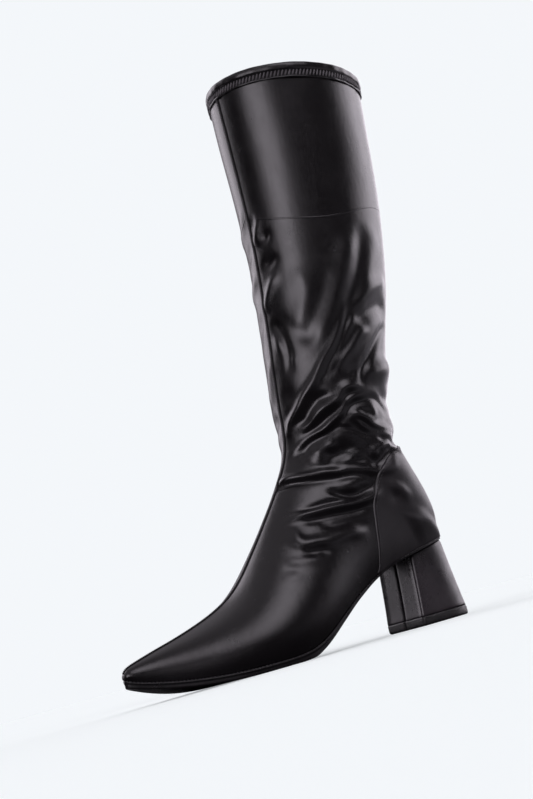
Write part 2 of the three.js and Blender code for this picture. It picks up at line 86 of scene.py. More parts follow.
# Outline of the sole: share of the foot's length, middle and half width as shares of the ball.
SOLE_OUTLINE = (
    (0.014, 0.0, 0.0),
    (0.016, 0.0, 0.05),
    (0.022, 0.0, 0.115),
    (0.036, 0.0, 0.185),
    (0.06, 0.0, 0.245),
    (0.095, 0.0, 0.292),
    (0.14, 0.0, 0.32),
    (0.19, 0.008, 0.328),
    (0.25, 0.022, 0.318),
    (0.31, 0.042, 0.315),
    (0.37, 0.062, 0.335),
    (0.43, 0.07, 0.38),
    (0.49, 0.07, 0.425),
    (0.55, 0.055, 0.465),
    (0.61, 0.032, 0.49),
    (0.665, 0.01, 0.487),
    (0.72, -0.012, 0.453),
    (0.775, -0.028, 0.395),
    (0.83, -0.038, 0.318),
    (0.885, -0.042, 0.225),
    (0.93, -0.04, 0.15),
    (0.965, -0.036, 0.092),
    (0.985, -0.033, 0.062),
    (0.9955, -0.031, 0.035),
    (1.0, -0.03, 0.0),
)

# Sections of the foot: low x, low z, top x, top z, outer and inner half width, widest height,
# exponents of the lower and upper curve. Lengths are shares of foot length, ankle height and ball.
FOOT_SECTIONS = (
    (0.9985, 0.1425, 0.9985, 0.168, 0.03, 0.03, 0.5, 1.6, 2.0),
    (0.9955, 0.1375, 0.994, 0.184, 0.052, 0.052, 0.45, 1.3, 2.0),
    (0.985, ON_FEATHER, 0.981, 0.199, 0.078, 0.078, 0.4, 1.1, 2.0),
    (0.955, ON_FEATHER, 0.951, 0.214, 0.118, 0.118, 0.36, 1.0, 1.95),
    (0.905, ON_FEATHER, 0.9, 0.24, 0.205, 0.205, 0.32, 1.0, 1.9),
    (0.85, ON_FEATHER, 0.843, 0.267, 0.3, 0.3, 0.3, 1.0, 1.85),
    (0.79, ON_FEATHER, 0.783, 0.3, 0.395, 0.392, 0.28, 1.0, 1.8),
    (0.73, ON_FEATHER, 0.727, 0.337, 0.47, 0.465, 0.27, 1.0, 1.8),
    (0.67, ON_FEATHER, 0.678, 0.388, 0.517, 0.507, 0.27, 1.0, 1.8),
    (0.61, ON_FEATHER, 0.641, 0.45, 0.53, 0.515, 0.28, 1.0, 1.8),
    (0.548, ON_FEATHER, 0.607, 0.522, 0.512, 0.498, 0.3, 1.0, 1.8),
    (0.48, ON_FEATHER, 0.573, 0.597, 0.478, 0.462, 0.33, 1.0, 1.8),
    (0.41, ON_FEATHER, 0.542, 0.665, 0.448, 0.432, 0.37, 1.0, 1.8),
    (0.335, ON_FEATHER, 0.512, 0.733, 0.428, 0.417, 0.42, 1.0, 1.8),
    (0.258, ON_FEATHER, 0.483, 0.797, 0.42, 0.413, 0.46, 1.0, 1.8),
    (0.18, ON_FEATHER, 0.457, 0.86, 0.42, 0.416, 0.48, 1.0, 1.82),
    (0.112, ON_FEATHER, 0.435, 0.918, 0.424, 0.422, 0.49, 1.05, 1.84),
    (0.064, ON_FEATHER, 0.42, 0.962, 0.428, 0.427, 0.48, 1.2, 1.86),
    (0.034, ON_FEATHER, 0.41, 0.996, 0.432, 0.432, 0.46, 1.5, 1.88),
    (0.024, 0.455, 0.402, 1.032, 0.436, 0.436, 0.44, 1.8, 1.9),
    (0.022, 0.51, 0.396, 1.068, 0.44, 0.442, 0.42, 2.0, 1.92),
    (0.029, 0.595, 0.391, 1.103, 0.445, 0.449, 0.41, 2.0, 1.94),
    (0.045, 0.69, 0.388, 1.137, 0.45, 0.455, 0.41, 2.0, 1.96),
    (0.063, 0.79, 0.386, 1.17, 0.455, 0.461, 0.42, 2.0, 1.98),
    (0.08, 0.89, 0.384, 1.204, 0.461, 0.467, 0.44, 2.0, 2.0),
    (0.087, 0.985, 0.383, 1.24, 0.466, 0.472, 0.46, 2.0, 2.0),
)

# Sections of the shaft: height, depth, width and backward bow, as shares of the shaft's length
# and of the collar's depth, width and depth.
SHAFT_SECTIONS = (
    (0.115, 0.735, 0.765, 0.012),
    (0.2, 0.755, 0.775, 0.02),
    (0.28, 0.78, 0.8, 0.036),
    (0.37, 0.822, 0.84, 0.054),
    (0.46, 0.858, 0.872, 0.068),
    (0.55, 0.887, 0.9, 0.072),
    (0.64, 0.913, 0.925, 0.066),
    (0.73, 0.938, 0.945, 0.052),
    (0.82, 0.962, 0.965, 0.034),
    (0.91, 0.984, 0.985, 0.016),
    (1.0, 1.0, 1.0, 0.0),
    (1.06, 1.01, 1.01, 0.0),
)

# Edge of the counter, from the sole to the back of the ankle: share of foot length, and share
# of the way from the sole up to the ankle's height.
COUNTER_EDGE = (
    (0.298, 0.0),
    (0.293, 0.009),
    (0.287, 0.12),
    (0.281, 0.232),
    (0.276, 0.347),
    (0.268, 0.476),
    (0.25, 0.604),
    (0.222, 0.719),
    (0.18, 0.815),
    (0.12, 0.891),
    (0.03, 0.938),
    (-0.08, 0.947),
)


@dataclass(frozen=True)
class Fold:
    """One soft ridge or trough of the upper.

    points are places on the form: the section's number, counted from the toe, and the share of
    the half girth from the front line. height is in millimetres, below zero for a trough, and
    width is the distance at which it has mostly died out.
    """

    height: float
    width: float
    points: tuple[tuple[float, float], ...]


OUTER_FOLDS = (
    # Soft vertical swells of the upper shaft
    Fold(1.7, 7, ((31.0, 0.51), (30.0, 0.46), (28.9, 0.40), (28.1, 0.33), (27.5, 0.27))),
    Fold(-1.2, 6, ((30.0, 0.38), (29.1, 0.33), (28.3, 0.28), (27.6, 0.22))),
    Fold(0.9, 6, ((30.0, 0.22), (29.3, 0.27), (28.7, 0.24), (28.1, 0.21))),
    Fold(-1.5, 5, ((31.3, 0.59), (30.5, 0.56), (29.7, 0.53), (29.0, 0.48), (28.4, 0.45))),
    Fold(1.1, 6, ((31.2, 0.69), (30.4, 0.65), (29.7, 0.60), (29.1, 0.55))),
    Fold(-0.8, 5, ((28.9, 0.07), (28.3, 0.15), (27.9, 0.24), (28.1, 0.30))),
    # Long diagonal ridges from the calf to the shin
    Fold(2.7, 2.6, ((28.8, 0.46), (28.2, 0.43), (27.6, 0.38), (27.1, 0.32), (26.6, 0.27), (26.2, 0.22),
        (25.8, 0.18), (25.2, 0.15), (24.3, 0.11), (23.3, 0.07), (22.4, 0.05), (21.5, 0.02))),
    Fold(-2.2, 2, ((28.8, 0.48), (28.0, 0.43), (27.3, 0.38), (26.8, 0.33), (26.4, 0.29), (26.1, 0.26))),
    Fold(1.3, 1.7, ((28.5, 0.51), (27.7, 0.43), (27.1, 0.38), (26.7, 0.33), (26.4, 0.29),
        (26.0, 0.23))),
    Fold(-1, 1.6, ((27.5, 0.43), (26.9, 0.38), (26.6, 0.33), (26.3, 0.30))),
    Fold(-2.3, 3.2, ((25.9, 0.35), (25.8, 0.29), (25.6, 0.25), (24.9, 0.21), (23.9, 0.18),
        (23.2, 0.14), (22.4, 0.11))),
    Fold(2.5, 2.7, ((26.2, 0.54), (26.2, 0.47), (26.1, 0.41), (25.7, 0.38), (25.4, 0.33), (25.1, 0.29),
        (24.6, 0.25), (24.1, 0.22), (23.4, 0.18), (22.6, 0.14), (21.7, 0.11))),
    Fold(-2, 2.2, ((26.0, 0.52), (25.9, 0.46), (25.7, 0.41), (25.2, 0.38), (24.6, 0.33), (24.1, 0.29),
        (23.5, 0.25), (22.8, 0.21), (21.7, 0.15), (20.7, 0.11), (19.6, 0.07))),
    Fold(2.5, 2.1, ((25.9, 0.53), (25.8, 0.47), (25.6, 0.43), (25.0, 0.39), (24.4, 0.35), (23.7, 0.30),
        (23.2, 0.27), (22.6, 0.23), (22.1, 0.19), (21.3, 0.14), (20.5, 0.11), (19.7, 0.09),
        (19.0, 0.06), (18.3, 0.03))),
    Fold(-2.2, 2.2, ((25.7, 0.56), (25.6, 0.47), (25.3, 0.43), (24.8, 0.40), (24.3, 0.37),
        (23.8, 0.33), (23.0, 0.29), (22.4, 0.25), (21.7, 0.20), (20.8, 0.15), (19.9, 0.11),
        (18.9, 0.07), (18.1, 0.03))),
    # Pocket at the back of the calf
    Fold(1.6, 5, ((29.7, 0.77), (29.5, 0.70), (29.3, 0.63), (29.0, 0.57), (28.4, 0.51))),
    Fold(-2.2, 6, ((28.7, 0.79), (28.8, 0.70), (28.7, 0.64), (28.5, 0.57), (28.1, 0.51))),
    Fold(1.6, 3, ((28.0, 0.60), (27.9, 0.54), (27.4, 0.48), (27.1, 0.43), (26.7, 0.39))),
    Fold(-2.4, 2.3, ((28.4, 0.78), (28.0, 0.70), (27.6, 0.64), (27.1, 0.58), (26.8, 0.54),
        (26.4, 0.52), (26.2, 0.53))),
    Fold(2.8, 5.5, ((27.1, 0.80), (26.9, 0.72), (26.7, 0.64), (26.6, 0.57), (26.6, 0.55))),
    Fold(-1.4, 2.4, ((26.8, 0.52), (26.7, 0.48), (26.5, 0.43))),
    # Eye-shaped tuck behind the ankle
    Fold(-1.8, 2.2, ((24.6, 0.40), (25.2, 0.43), (25.5, 0.48), (25.7, 0.54), (25.8, 0.60),
        (25.6, 0.67), (25.3, 0.72))),
    Fold(1.5, 2, ((25.5, 0.54), (25.5, 0.57), (25.2, 0.59), (24.9, 0.57), (25.0, 0.53), (25.1, 0.48))),
    Fold(-1.2, 1.8, ((25.2, 0.47), (25.2, 0.51), (25.0, 0.56))),
    Fold(1.8, 2.3, ((24.4, 0.40), (24.7, 0.43), (24.9, 0.47), (24.8, 0.51), (24.5, 0.55), (24.5, 0.60),
        (24.7, 0.67), (24.7, 0.77))),
    Fold(-1.5, 1.8, ((24.4, 0.43), (24.6, 0.47), (24.4, 0.51), (24.2, 0.57), (24.4, 0.67))),
    Fold(1.8, 2.2, ((24.2, 0.41), (24.4, 0.46), (24.2, 0.49), (24.1, 0.54), (24.0, 0.58), (24.2, 0.64),
        (24.4, 0.74))),
    Fold(-1.9, 2.6, ((23.9, 0.38), (24.1, 0.43), (24.0, 0.48), (23.9, 0.54), (23.7, 0.60),
        (23.9, 0.66))),
    Fold(0.9, 2.6, ((23.4, 0.33), (23.7, 0.40), (23.8, 0.47), (23.7, 0.54), (23.5, 0.60))),
    Fold(-1.6, 2.2, ((22.0, 0.23), (22.8, 0.29), (23.3, 0.33), (23.6, 0.40), (23.5, 0.46),
        (23.4, 0.54))),
    # Slack between the rolls
    Fold(1.5, 3.6, ((22.7, 0.52), (22.2, 0.48), (21.7, 0.46), (21.3, 0.42))),
    Fold(2.6, 2.8, ((21.9, 0.29), (21.1, 0.25), (20.4, 0.21), (19.6, 0.17), (18.9, 0.13))),
    Fold(1.5, 3, ((20.1, 0.23), (19.4, 0.20), (18.6, 0.17), (17.8, 0.17))),
    Fold(-2.2, 5, ((22.1, 0.38), (20.9, 0.31), (20.0, 0.26), (19.1, 0.23), (18.4, 0.20))),
    Fold(1.6, 2.8, ((21.7, 0.44), (21.1, 0.38), (20.3, 0.33), (19.5, 0.29), (18.5, 0.23))),
    Fold(-0.9, 2.4, ((21.1, 0.40), (20.4, 0.36), (19.6, 0.31))),
    Fold(1.4, 2.6, ((20.6, 0.46), (20.3, 0.40), (19.8, 0.35), (19.2, 0.29))),
    Fold(-1.3, 4, ((20.5, 0.14), (19.2, 0.11), (17.9, 0.09))),
    # The two long rolls over the instep
    Fold(-2.5, 2.4, ((24.1, 0.74), (23.6, 0.67), (22.9, 0.60), (22.2, 0.55), (21.3, 0.49),
        (20.6, 0.46), (20.0, 0.41))),
    Fold(-1.6, 2.2, ((20.2, 0.43), (19.7, 0.38), (19.2, 0.31), (18.6, 0.26), (18.0, 0.21),
        (17.3, 0.16))),
    Fold(1.8, 2, ((24.0, 0.77), (23.4, 0.70), (23.4, 0.62), (23.0, 0.57), (22.4, 0.51), (21.6, 0.47),
        (21.0, 0.43))),
    Fold(2.6, 2.8, ((23.0, 0.67), (22.2, 0.60), (21.3, 0.56), (20.6, 0.50), (20.2, 0.46), (19.7, 0.41),
        (19.2, 0.36), (18.6, 0.31), (17.9, 0.27), (17.2, 0.22), (16.6, 0.18), (16.2, 0.13),
        (15.9, 0.07), (15.5, 0.00))),
    Fold(1, 2, ((19.6, 0.35), (19.0, 0.29), (18.3, 0.25), (17.5, 0.19), (16.9, 0.15))),
    Fold(-2.1, 2.2, ((19.5, 0.43), (18.9, 0.38), (18.3, 0.33), (17.6, 0.29), (17.0, 0.25),
        (16.4, 0.20), (15.8, 0.13), (15.4, 0.07), (15.0, 0.00))),
    Fold(-0.7, 3.4, ((17.3, 0.32), (16.5, 0.26), (16.1, 0.20), (15.6, 0.15), (15.2, 0.09))),
    Fold(1.1, 2.6, ((18.6, 0.40), (17.9, 0.36), (17.3, 0.31))),
    Fold(1.6, 4, ((17.4, 0.38), (16.9, 0.33), (16.3, 0.28))),
    Fold(-2.6, 2.2, ((19.1, 0.43), (17.9, 0.42), (17.1, 0.40), (16.4, 0.38), (15.9, 0.34),
        (15.8, 0.29), (15.7, 0.25))),
    Fold(1.2, 1.7, ((19.0, 0.43), (17.8, 0.42), (17.0, 0.41), (16.3, 0.39), (15.6, 0.35),
        (15.2, 0.29))),
    Fold(-2.4, 2.2, ((19.2, 0.44), (18.2, 0.44), (17.1, 0.42), (16.4, 0.40), (15.7, 0.37),
        (15.2, 0.33), (14.7, 0.29), (14.2, 0.25), (13.5, 0.19))),
    Fold(2.9, 2.6, ((19.6, 0.46), (18.3, 0.45), (17.0, 0.45), (16.3, 0.43), (15.6, 0.40), (15.0, 0.35),
        (14.4, 0.30), (13.8, 0.25), (13.3, 0.20), (12.7, 0.14))),
    Fold(-2, 2.6, ((16.1, 0.46), (15.3, 0.43), (14.6, 0.38), (13.9, 0.32), (13.4, 0.27), (13.2, 0.23))),
    Fold(-1.2, 3.2, ((15.1, 0.51), (14.5, 0.44), (13.8, 0.38), (13.5, 0.31))),
    # Soft creases over the arch
    Fold(2.2, 4.4, ((14.7, 0.56), (14.0, 0.49), (13.3, 0.44), (12.7, 0.38), (12.2, 0.30), (12.5, 0.23),
        (12.8, 0.19))),
    Fold(-1.7, 3.4, ((12.8, 0.48), (12.5, 0.41), (12.1, 0.37), (11.7, 0.31))),
    Fold(0.7, 3, ((12.3, 0.46), (11.9, 0.40), (11.3, 0.33), (10.9, 0.25))),
    Fold(-0.5, 2.4, ((11.3, 0.38), (10.8, 0.31), (10.6, 0.25))),
    Fold(0.5, 2.6, ((11.1, 0.40), (10.4, 0.33), (10.2, 0.28))),
    # Bulges and notches of the back line
    Fold(2.2, 7.0, ((26.6, 0.62), (26.8, 0.75), (26.9, 0.90), (26.9, 1.00))),
    Fold(-1.8, 4.2, ((26.0, 0.62), (25.9, 0.75), (26.0, 0.88), (26.1, 1.00))),
    Fold(1.8, 4.6, ((25.1, 0.68), (25.1, 0.80), (25.2, 0.90), (25.2, 1.00))),
    Fold(-2.0, 3.8, ((24.3, 0.70), (24.4, 0.80), (24.4, 0.90), (24.4, 1.00))),
    # Bump and dent of the counter
    Fold(1.9, 3.4, ((18.6, 0.49), (19.1, 0.52), (19.3, 0.57), (18.9, 0.64))),
    Fold(-1.3, 4.6, ((18.2, 0.51), (18.3, 0.56), (18.2, 0.59))),
    Fold(1.8, 13, ((18.2, 0.67), (17.2, 0.70), (16.2, 0.70))),
    # Ripples beside the front seam
    Fold(1.8, 3.2, ((28.9, 0.00), (29.5, 0.06), (30.0, 0.13))),
    Fold(-2.1, 3.6, ((30.2, 0.03), (30.3, 0.08), (30.5, 0.15))),
    Fold(1.2, 3.4, ((28.3, 0.04), (28.0, 0.07), (27.5, 0.09))),
    Fold(-1.8, 2.6, ((28.6, 0.03), (28.4, 0.08), (27.8, 0.12), (27.2, 0.13), (26.8, 0.11))),
    Fold(0.8, 2.4, ((27.3, 0.13), (27.2, 0.17))),
    Fold(-0.8, 5, ((26.4, 0.04), (26.2, 0.09), (25.5, 0.13))),
    Fold(-1.8, 3.0, ((31.8, 0.05), (31.5, 0.03))),
    Fold(1.8, 2.6, ((31.9, 0.07), (31.4, 0.05), (31.0, 0.02))),
    Fold(-2.1, 3.2, ((31.0, 0.12), (31.2, 0.07))),
)

INNER_FOLDS = (
    Fold(2.2, 7.0, ((26.9, 1.0), (26.8, 0.86), (26.6, 0.7))),
    Fold(-2.2, 3.6, ((26.05, 1.0), (26.0, 0.86), (25.9, 0.72))),
    Fold(2.0, 4.2, ((25.2, 1.0), (25.1, 0.86), (24.9, 0.7))),
    Fold(-2.4, 3.2, ((24.45, 1.0), (24.3, 0.86), (24.0, 0.68))),
    Fold(1.2, 10.4, ((31.0, 0.4), (29.6, 0.36), (28.4, 0.3), (27.2, 0.22))),
    Fold(-1.0, 9.1, ((30.6, 0.52), (29.3, 0.47), (28.2, 0.4))),
    Fold(2.0, 5.9, ((28.9, 0.6), (27.9, 0.47), (27.0, 0.35), (26.2, 0.24))),
    Fold(-2.2, 4.4, ((28.5, 0.61), (27.5, 0.49), (26.6, 0.37), (25.9, 0.27))),
    Fold(1.8, 6.5, ((27.6, 0.72), (26.8, 0.66), (26.2, 0.56))),
    Fold(-2.2, 4.2, ((27.0, 0.8), (26.2, 0.68), (25.6, 0.55), (25.2, 0.45))),
    Fold(2.0, 4.4, ((26.0, 0.6), (25.4, 0.48), (24.4, 0.35), (22.8, 0.22))),
    Fold(-2.2, 3.6, ((25.3, 0.6), (24.4, 0.5), (23.2, 0.36), (21.4, 0.22), (19.6, 0.12))),
    Fold(2.0, 4.7, ((24.0, 0.7), (22.8, 0.56), (21.4, 0.43), (19.8, 0.3), (18.2, 0.18))),
    Fold(-2.6, 3.9, ((23.0, 0.74), (21.8, 0.6), (20.2, 0.46), (18.6, 0.33), (17.0, 0.2),
        (15.8, 0.1))),
    Fold(2.4, 4.4, ((21.6, 0.68), (20.0, 0.54), (18.4, 0.43), (16.8, 0.32), (15.6, 0.2))),
    Fold(-2.2, 3.9, ((19.6, 0.6), (17.8, 0.49), (16.2, 0.4), (15.0, 0.29))),
    Fold(1.6, 5.2, ((17.6, 0.54), (16.0, 0.47), (14.8, 0.38), (13.8, 0.28))),
    Fold(-1.2, 5.9, ((14.4, 0.5), (13.6, 0.42), (13.0, 0.33))),
    Fold(0.8, 6.5, ((13.6, 0.54), (12.8, 0.45), (12.2, 0.36))),
    Fold(1.3, 4.5, ((32.2, 0.03), (31.6, 0.1), (31.3, 0.2))),
    Fold(-1.4, 4.0, ((31.2, 0.02), (30.8, 0.09), (30.6, 0.18))),
    Fold(1.5, 4.5, ((30.2, 0.02), (29.9, 0.08), (29.4, 0.17))),
    Fold(-1.3, 4.5, ((29.0, 0.02), (28.6, 0.09), (28.0, 0.16))),
    Fold(1.4, 5.5, ((27.6, 0.02), (26.8, 0.06), (25.8, 0.1))),
    Fold(-1.2, 5.0, ((25.4, 0.02), (24.4, 0.07), (23.4, 0.12))),
    Fold(1.2, 5.0, ((22.6, 0.02), (21.6, 0.07), (20.4, 0.12))),
)

FOLDS = {Side.OUTER: OUTER_FOLDS, Side.INNER: INNER_FOLDS}


def curve_at(rows: tuple, column: int, x: Number) -> np.ndarray:
    """Smooth curve through one column of a table, with no overshoot between its rows.

    Args:
        rows: the table, sorted by its first column.
        column: which column to read.
        x: where, in the first column's terms.

    Returns:
        The curve's values at x.
    """
    table = np.array(rows, float)
    xs, ys = table[:, 0], table[:, column]
    slopes = np.diff(ys) / np.diff(xs)
    tangents = np.zeros(len(xs))
    before, after = slopes[:-1], slopes[1:]
    same = before * after > 0
    tangents[1:-1][same] = 2 * before[same] * after[same] / (before[same] + after[same])
    tangents[0], tangents[-1] = slopes[0], slopes[-1]
    x = np.asarray(x, float)
    i = np.clip(np.searchsorted(xs, x, side="right") - 1, 0, len(xs) - 2)
    span = xs[i + 1] - xs[i]
    t = np.clip((x - xs[i]) / span, 0, 1)
    value = (1 + 2 * t) * (1 - t) ** 2 * ys[i] + t * t * (3 - 2 * t) * ys[i + 1]
    return value + span * (t * (1 - t) ** 2 * tangents[i] + t * t * (t - 1) * tangents[i + 1])


def ease(x: Number, start: float, end: float) -> np.ndarray:
    """Smooth step from 0 at start to 1 at end."""
    t = np.clip((np.asarray(x, float) - start) / (end - start), 0, 1)
    return t * t * (3 - 2 * t)


def spline_through(points: np.ndarray, count: int) -> np.ndarray:
    """Catmull-Rom curve through points.

    Args:
        points: array of n points.
        count: how many samples to give back.

    Returns:
        Array of count samples, evenly spread over the points' numbers.
    """
    padded = np.vstack([2 * points[0] - points[1], points, 2 * points[-1] - points[-2]])
    place = np.linspace(0, len(points) - 1, count)
    i = np.clip(place.astype(int), 0, len(points) - 2)
    t = (place - i)[:, None]
    a, b, c, d = padded[i], padded[i + 1], padded[i + 2], padded[i + 3]
    square, cube = 2 * a - 5 * b + 4 * c - d, 3 * b - a - 3 * c + d
    return 0.5 * (2 * b + (c - a) * t + square * t**2 + cube * t**3)


def unit(vectors: np.ndarray) -> np.ndarray:
    """Vectors scaled to length one."""
    return vectors / (np.linalg.norm(vectors, axis=-1, keepdims=True) + 1e-12)


@dataclass
class Form:
    """The boot's smooth outer form, the same as the solids have. Lengths are in millimetres."""

    foot_length: float = 252.0
    ball_width: float = 78.0
    seat_rise: float = 52.0
    tread_start: float = 154.0
    tread_end: float = 176.0
    toe_spring_radius: float = 220.0
    ankle_x: float = 62.0
    ankle_height: float = 128.0
    shaft_length: float = 259.0
    shaft_lean: float = 9.0
    collar_depth: float = 110.0
    collar_width: float = 99.0
    sole_thickness: float = 4.0
    seat_sole_thickness: float = 1.8
    heel_length: float = 46.0
    arc_points: int = 90
    flat_points: int = 30
    rows: np.ndarray = field(init=False)
    last: int = field(init=False)
    low_line: np.ndarray = field(init=False)

    def __post_init__(self) -> None:
        """Works out the rows that the spline blends."""
        self.rows = np.array(self._foot_rows() + self._shaft_rows())
        self.last = len(self.rows) - 1
        last_low = max(i for i, row in enumerate(FOOT_SECTIONS) if math.isnan(row[1]))
        self.low_line = self.blended(np.linspace(0, last_low, 90))[::-1, :2]

    def feather(self, x: Number) -> np.ndarray:
        """Height of the feather line, where upper and sole meet, at x.

        Args:
            x: positions along the foot.

        Returns:
            Heights in millimetres.
        """
        x = np.asarray(x, float)
        ahead = np.maximum(x - self.tread_end, 0)
        spring = self.toe_spring_radius - np.sqrt(self.toe_spring_radius**2 - ahead**2)
        arch = self.seat_rise * curve_at(ARCH, 1, x / self.foot_length)
        return np.where(x < self.tread_start, arch, spring) + self.sole_thickness

    def sole_bottom(self, x: Number) -> np.ndarray:
        """Height of the outsole's underside at x.

        Args:
            x: positions along the foot.

        Returns:
            Heights in millimetres.
        """
        share = ease(x, self.heel_length, self.tread_start)
        thickness = self.seat_sole_thickness + (self.sole_thickness - self.seat_sole_thickness) * share
        return self.feather(x) - thickness

    def low_height(self, x: Number) -> np.ndarray:
        """Height of the form's low line at x."""
        return np.interp(x, self.low_line[:, 0], self.low_line[:, 1])

    def outline(self, x: Number) -> tuple[np.ndarray, np.ndarray]:
        """Middle and half width of the sole at x.

        Args:
            x: positions along the foot.

        Returns:
            The outline's middle and half width.
        """
        share = np.asarray(x, float) / self.foot_length
        middle, half = (curve_at(SOLE_OUTLINE, column, share) * self.ball_width for column in (1, 2))
        return middle, half

    def shaft_point(self, up: float, across: float) -> tuple[float, float]:
        """X and Z of a point of the shaft's middle plane.

        Args:
            up: distance up the shaft's axis from the ankle.
            across: distance to the front of the axis.

        Returns:
            X and Z in millimetres.
        """
        lean = math.radians(self.shaft_lean)
        x = self.ankle_x - math.sin(lean) * up + math.cos(lean) * across
        return x, self.ankle_height + math.cos(lean) * up + math.sin(lean) * across

    def _foot_rows(self) -> list[list[float]]:
        """Rows of the foot, from the toe to the ankle.

        Returns:
            One row of twelve values for each section.
        """
        rows = []
        for low_x, low_z, top_x, top_z, outer, inner, wide, low_round, top_round in FOOT_SECTIONS:
            x = low_x * self.foot_length
            on_feather = math.isnan(low_z)
            middle, half = self.outline(x)
            z = float(self.feather(x)) if on_feather else low_z * self.ankle_height
            toeward = 0.5 + 0.5 * float(ease(low_x, 0.5, 0.85))
            top = [top_x * self.foot_length, top_z * self.ankle_height]
            widths = [outer * self.ball_width, inner * self.ball_width]
            flat = float(half) if on_feather else 0.0
            middles = [float(middle), float(middle) * toeward]
            rows.append([x, z, *top, *widths, wide, low_round, top_round, flat, *middles])
        return rows

    def _shaft_rows(self) -> list[list[float]]:
        """Rows of the shaft, square to its axis.

        Returns:
            One row of twelve values for each section.
        """
        rows = []
        for share, depth, width, bow in SHAFT_SECTIONS:
            up = share * self.shaft_length
            middle = -bow * self.collar_depth
            low = self.shaft_point(up, middle - depth * self.collar_depth / 2)
            top = self.shaft_point(up, middle + depth * self.collar_depth / 2)
            half = width * self.collar_width / 2
            rows.append([*low, *top, half, half, 0.5, 2.0, 2.0, 0.0, 0.0, 0.0])
        return rows

    def blended(self, place: Number) -> np.ndarray:
        """Rows of the form at any section numbers, by a cubic B-spline.

        Args:
            place: section numbers, whole ones near their own row.

        Returns:
            One row of twelve values for each place.
        """
        rows = self.rows
        padded = np.vstack([2 * rows[0] - rows[1], rows, 2 * rows[-1] - rows[-2]])
        place = np.asarray(place, float)
        i = np.clip(np.floor(place).astype(int), 0, self.last - 1)
        t = (place - i)[..., None]
        early = padded[i] * (1 - t) ** 3 + padded[i + 1] * (3 * t**3 - 6 * t**2 + 4)
        late = padded[i + 2] * (-3 * t**3 + 3 * t**2 + 3 * t + 1) + padded[i + 3] * t**3
        return (early + late) / 6

    def offset_rows(self, place: np.ndarray, offset: Number) -> np.ndarray:
        """Rows of the form moved out by offset, or in where it is negative.

        Args:
            place: section numbers.
            offset: distance, one value or one for each place.

        Returns:
            One row of twelve values for each place.
        """
        step = 0.05
        row = self.blended(place)
        after, before = np.minimum(place + step, self.last), np.maximum(place - step, 0)
        along = self.blended(after) - self.blended(before)
        toward = row[:, 2:4] - row[:, 0:2]
        offset = np.broadcast_to(np.asarray(offset, float), place.shape)
        for columns, sign in ((slice(2, 4), 1), (slice(0, 2), -1)):
            line = along[:, columns]
            normal = unit(np.stack([line[:, 1], -line[:, 0]], 1))
            normal *= np.sign((normal * toward).sum(1) * sign)[:, None]
            row[:, columns] += offset[:, None] * normal
        row[:, 4:6] += offset[:, None]
        row[:, 9] = np.where(row[:, 9] > 0.01, np.maximum(row[:, 9] + offset, 0), row[:, 9])
        return row

    def half_sections(
        self, place: np.ndarray, side: Side, girth: np.ndarray, offset: Number = 0.0
    ) -> np.ndarray:
        """Points round one half of the sections, evenly measured along their girth.

        Args:
            place: section numbers.
            side: which half.
            girth: shares of the half girth, 0 on the front line and 1 at the bottom or back.
            offset: distance out of the form, one value or one for each place.

        Returns:
            Array of places by girths by three.
        """
        row = self.offset_rows(place, offset)
        columns = [row[:, k][:, None] for k in range(row.shape[1])]
        low_x, low_z, top_x, top_z, outer, inner = columns[:6]
        wide, low_round, top_round, flat, low_mid, top_mid = columns[6:]
        half = outer if side is Side.OUTER else inner
        angle = np.linspace(np.pi / 2, 0, self.arc_points)[None, :]
        top_share = wide + (1 - wide) * np.sin(angle) ** (2 / top_round)
        top_across = half * np.cos(angle).clip(0) ** (2 / top_round)
        angle = np.linspace(0, np.pi / 2, self.arc_points)[None, 1:]
        flat = np.minimum(flat, half)
        low_share = wide * (1 - np.sin(angle))
        low_across = flat + (half - flat) * np.cos(angle).clip(0) ** (2 / low_round)
        flat_across = flat * np.linspace(1, 0, self.flat_points)[None, 1:]
        share = np.concatenate([top_share, low_share, 0 * flat_across], 1)
        across = np.concatenate([top_across, low_across, flat_across], 1) * side.value
        middle = low_mid + (top_mid - low_mid) * share
        along, up = low_x + (top_x - low_x) * share, low_z + (top_z - low_z) * share
        return resample(np.stack([along, middle + across, up], 2), girth)

    def place_at(self, up: float) -> float:
        """Section number of the shaft's section that lies up millimetres above the ankle.

        Args:
            up: distance up the shaft's axis from the ankle.

        Returns:
            The section number.
        """
        places = np.linspace(len(FOOT_SECTIONS) + 1, self.last, 200)
        rows = self.blended(places)
        lean = math.radians(self.shaft_lean)
        middle = (rows[:, 0:2] + rows[:, 2:4]) / 2 - (self.ankle_x, self.ankle_height)
        heights = -math.sin(lean) * middle[:, 0] + math.cos(lean) * middle[:, 1]
        return float(np.interp(up, heights, places))


def resample(lines: np.ndarray, shares: np.ndarray) -> np.ndarray:
    """Points at even shares of the length of each line.

    Args:
        lines: array of lines by points by three.
        shares: where to sample, from 0 to 1.

    Returns:
        Array of lines by shares by three.
    """
    steps = np.linalg.norm(np.diff(lines, axis=1), axis=2)
    length = np.concatenate([np.zeros((len(lines), 1)), np.cumsum(steps, 1)], 1)
    length /= length[:, -1:]
    out = np.empty((len(lines), len(shares), 3))
    for i, line in enumerate(lines):
        for axis in range(3):
            out[i, :, axis] = np.interp(shares, length[i], line[:, axis])
    return out


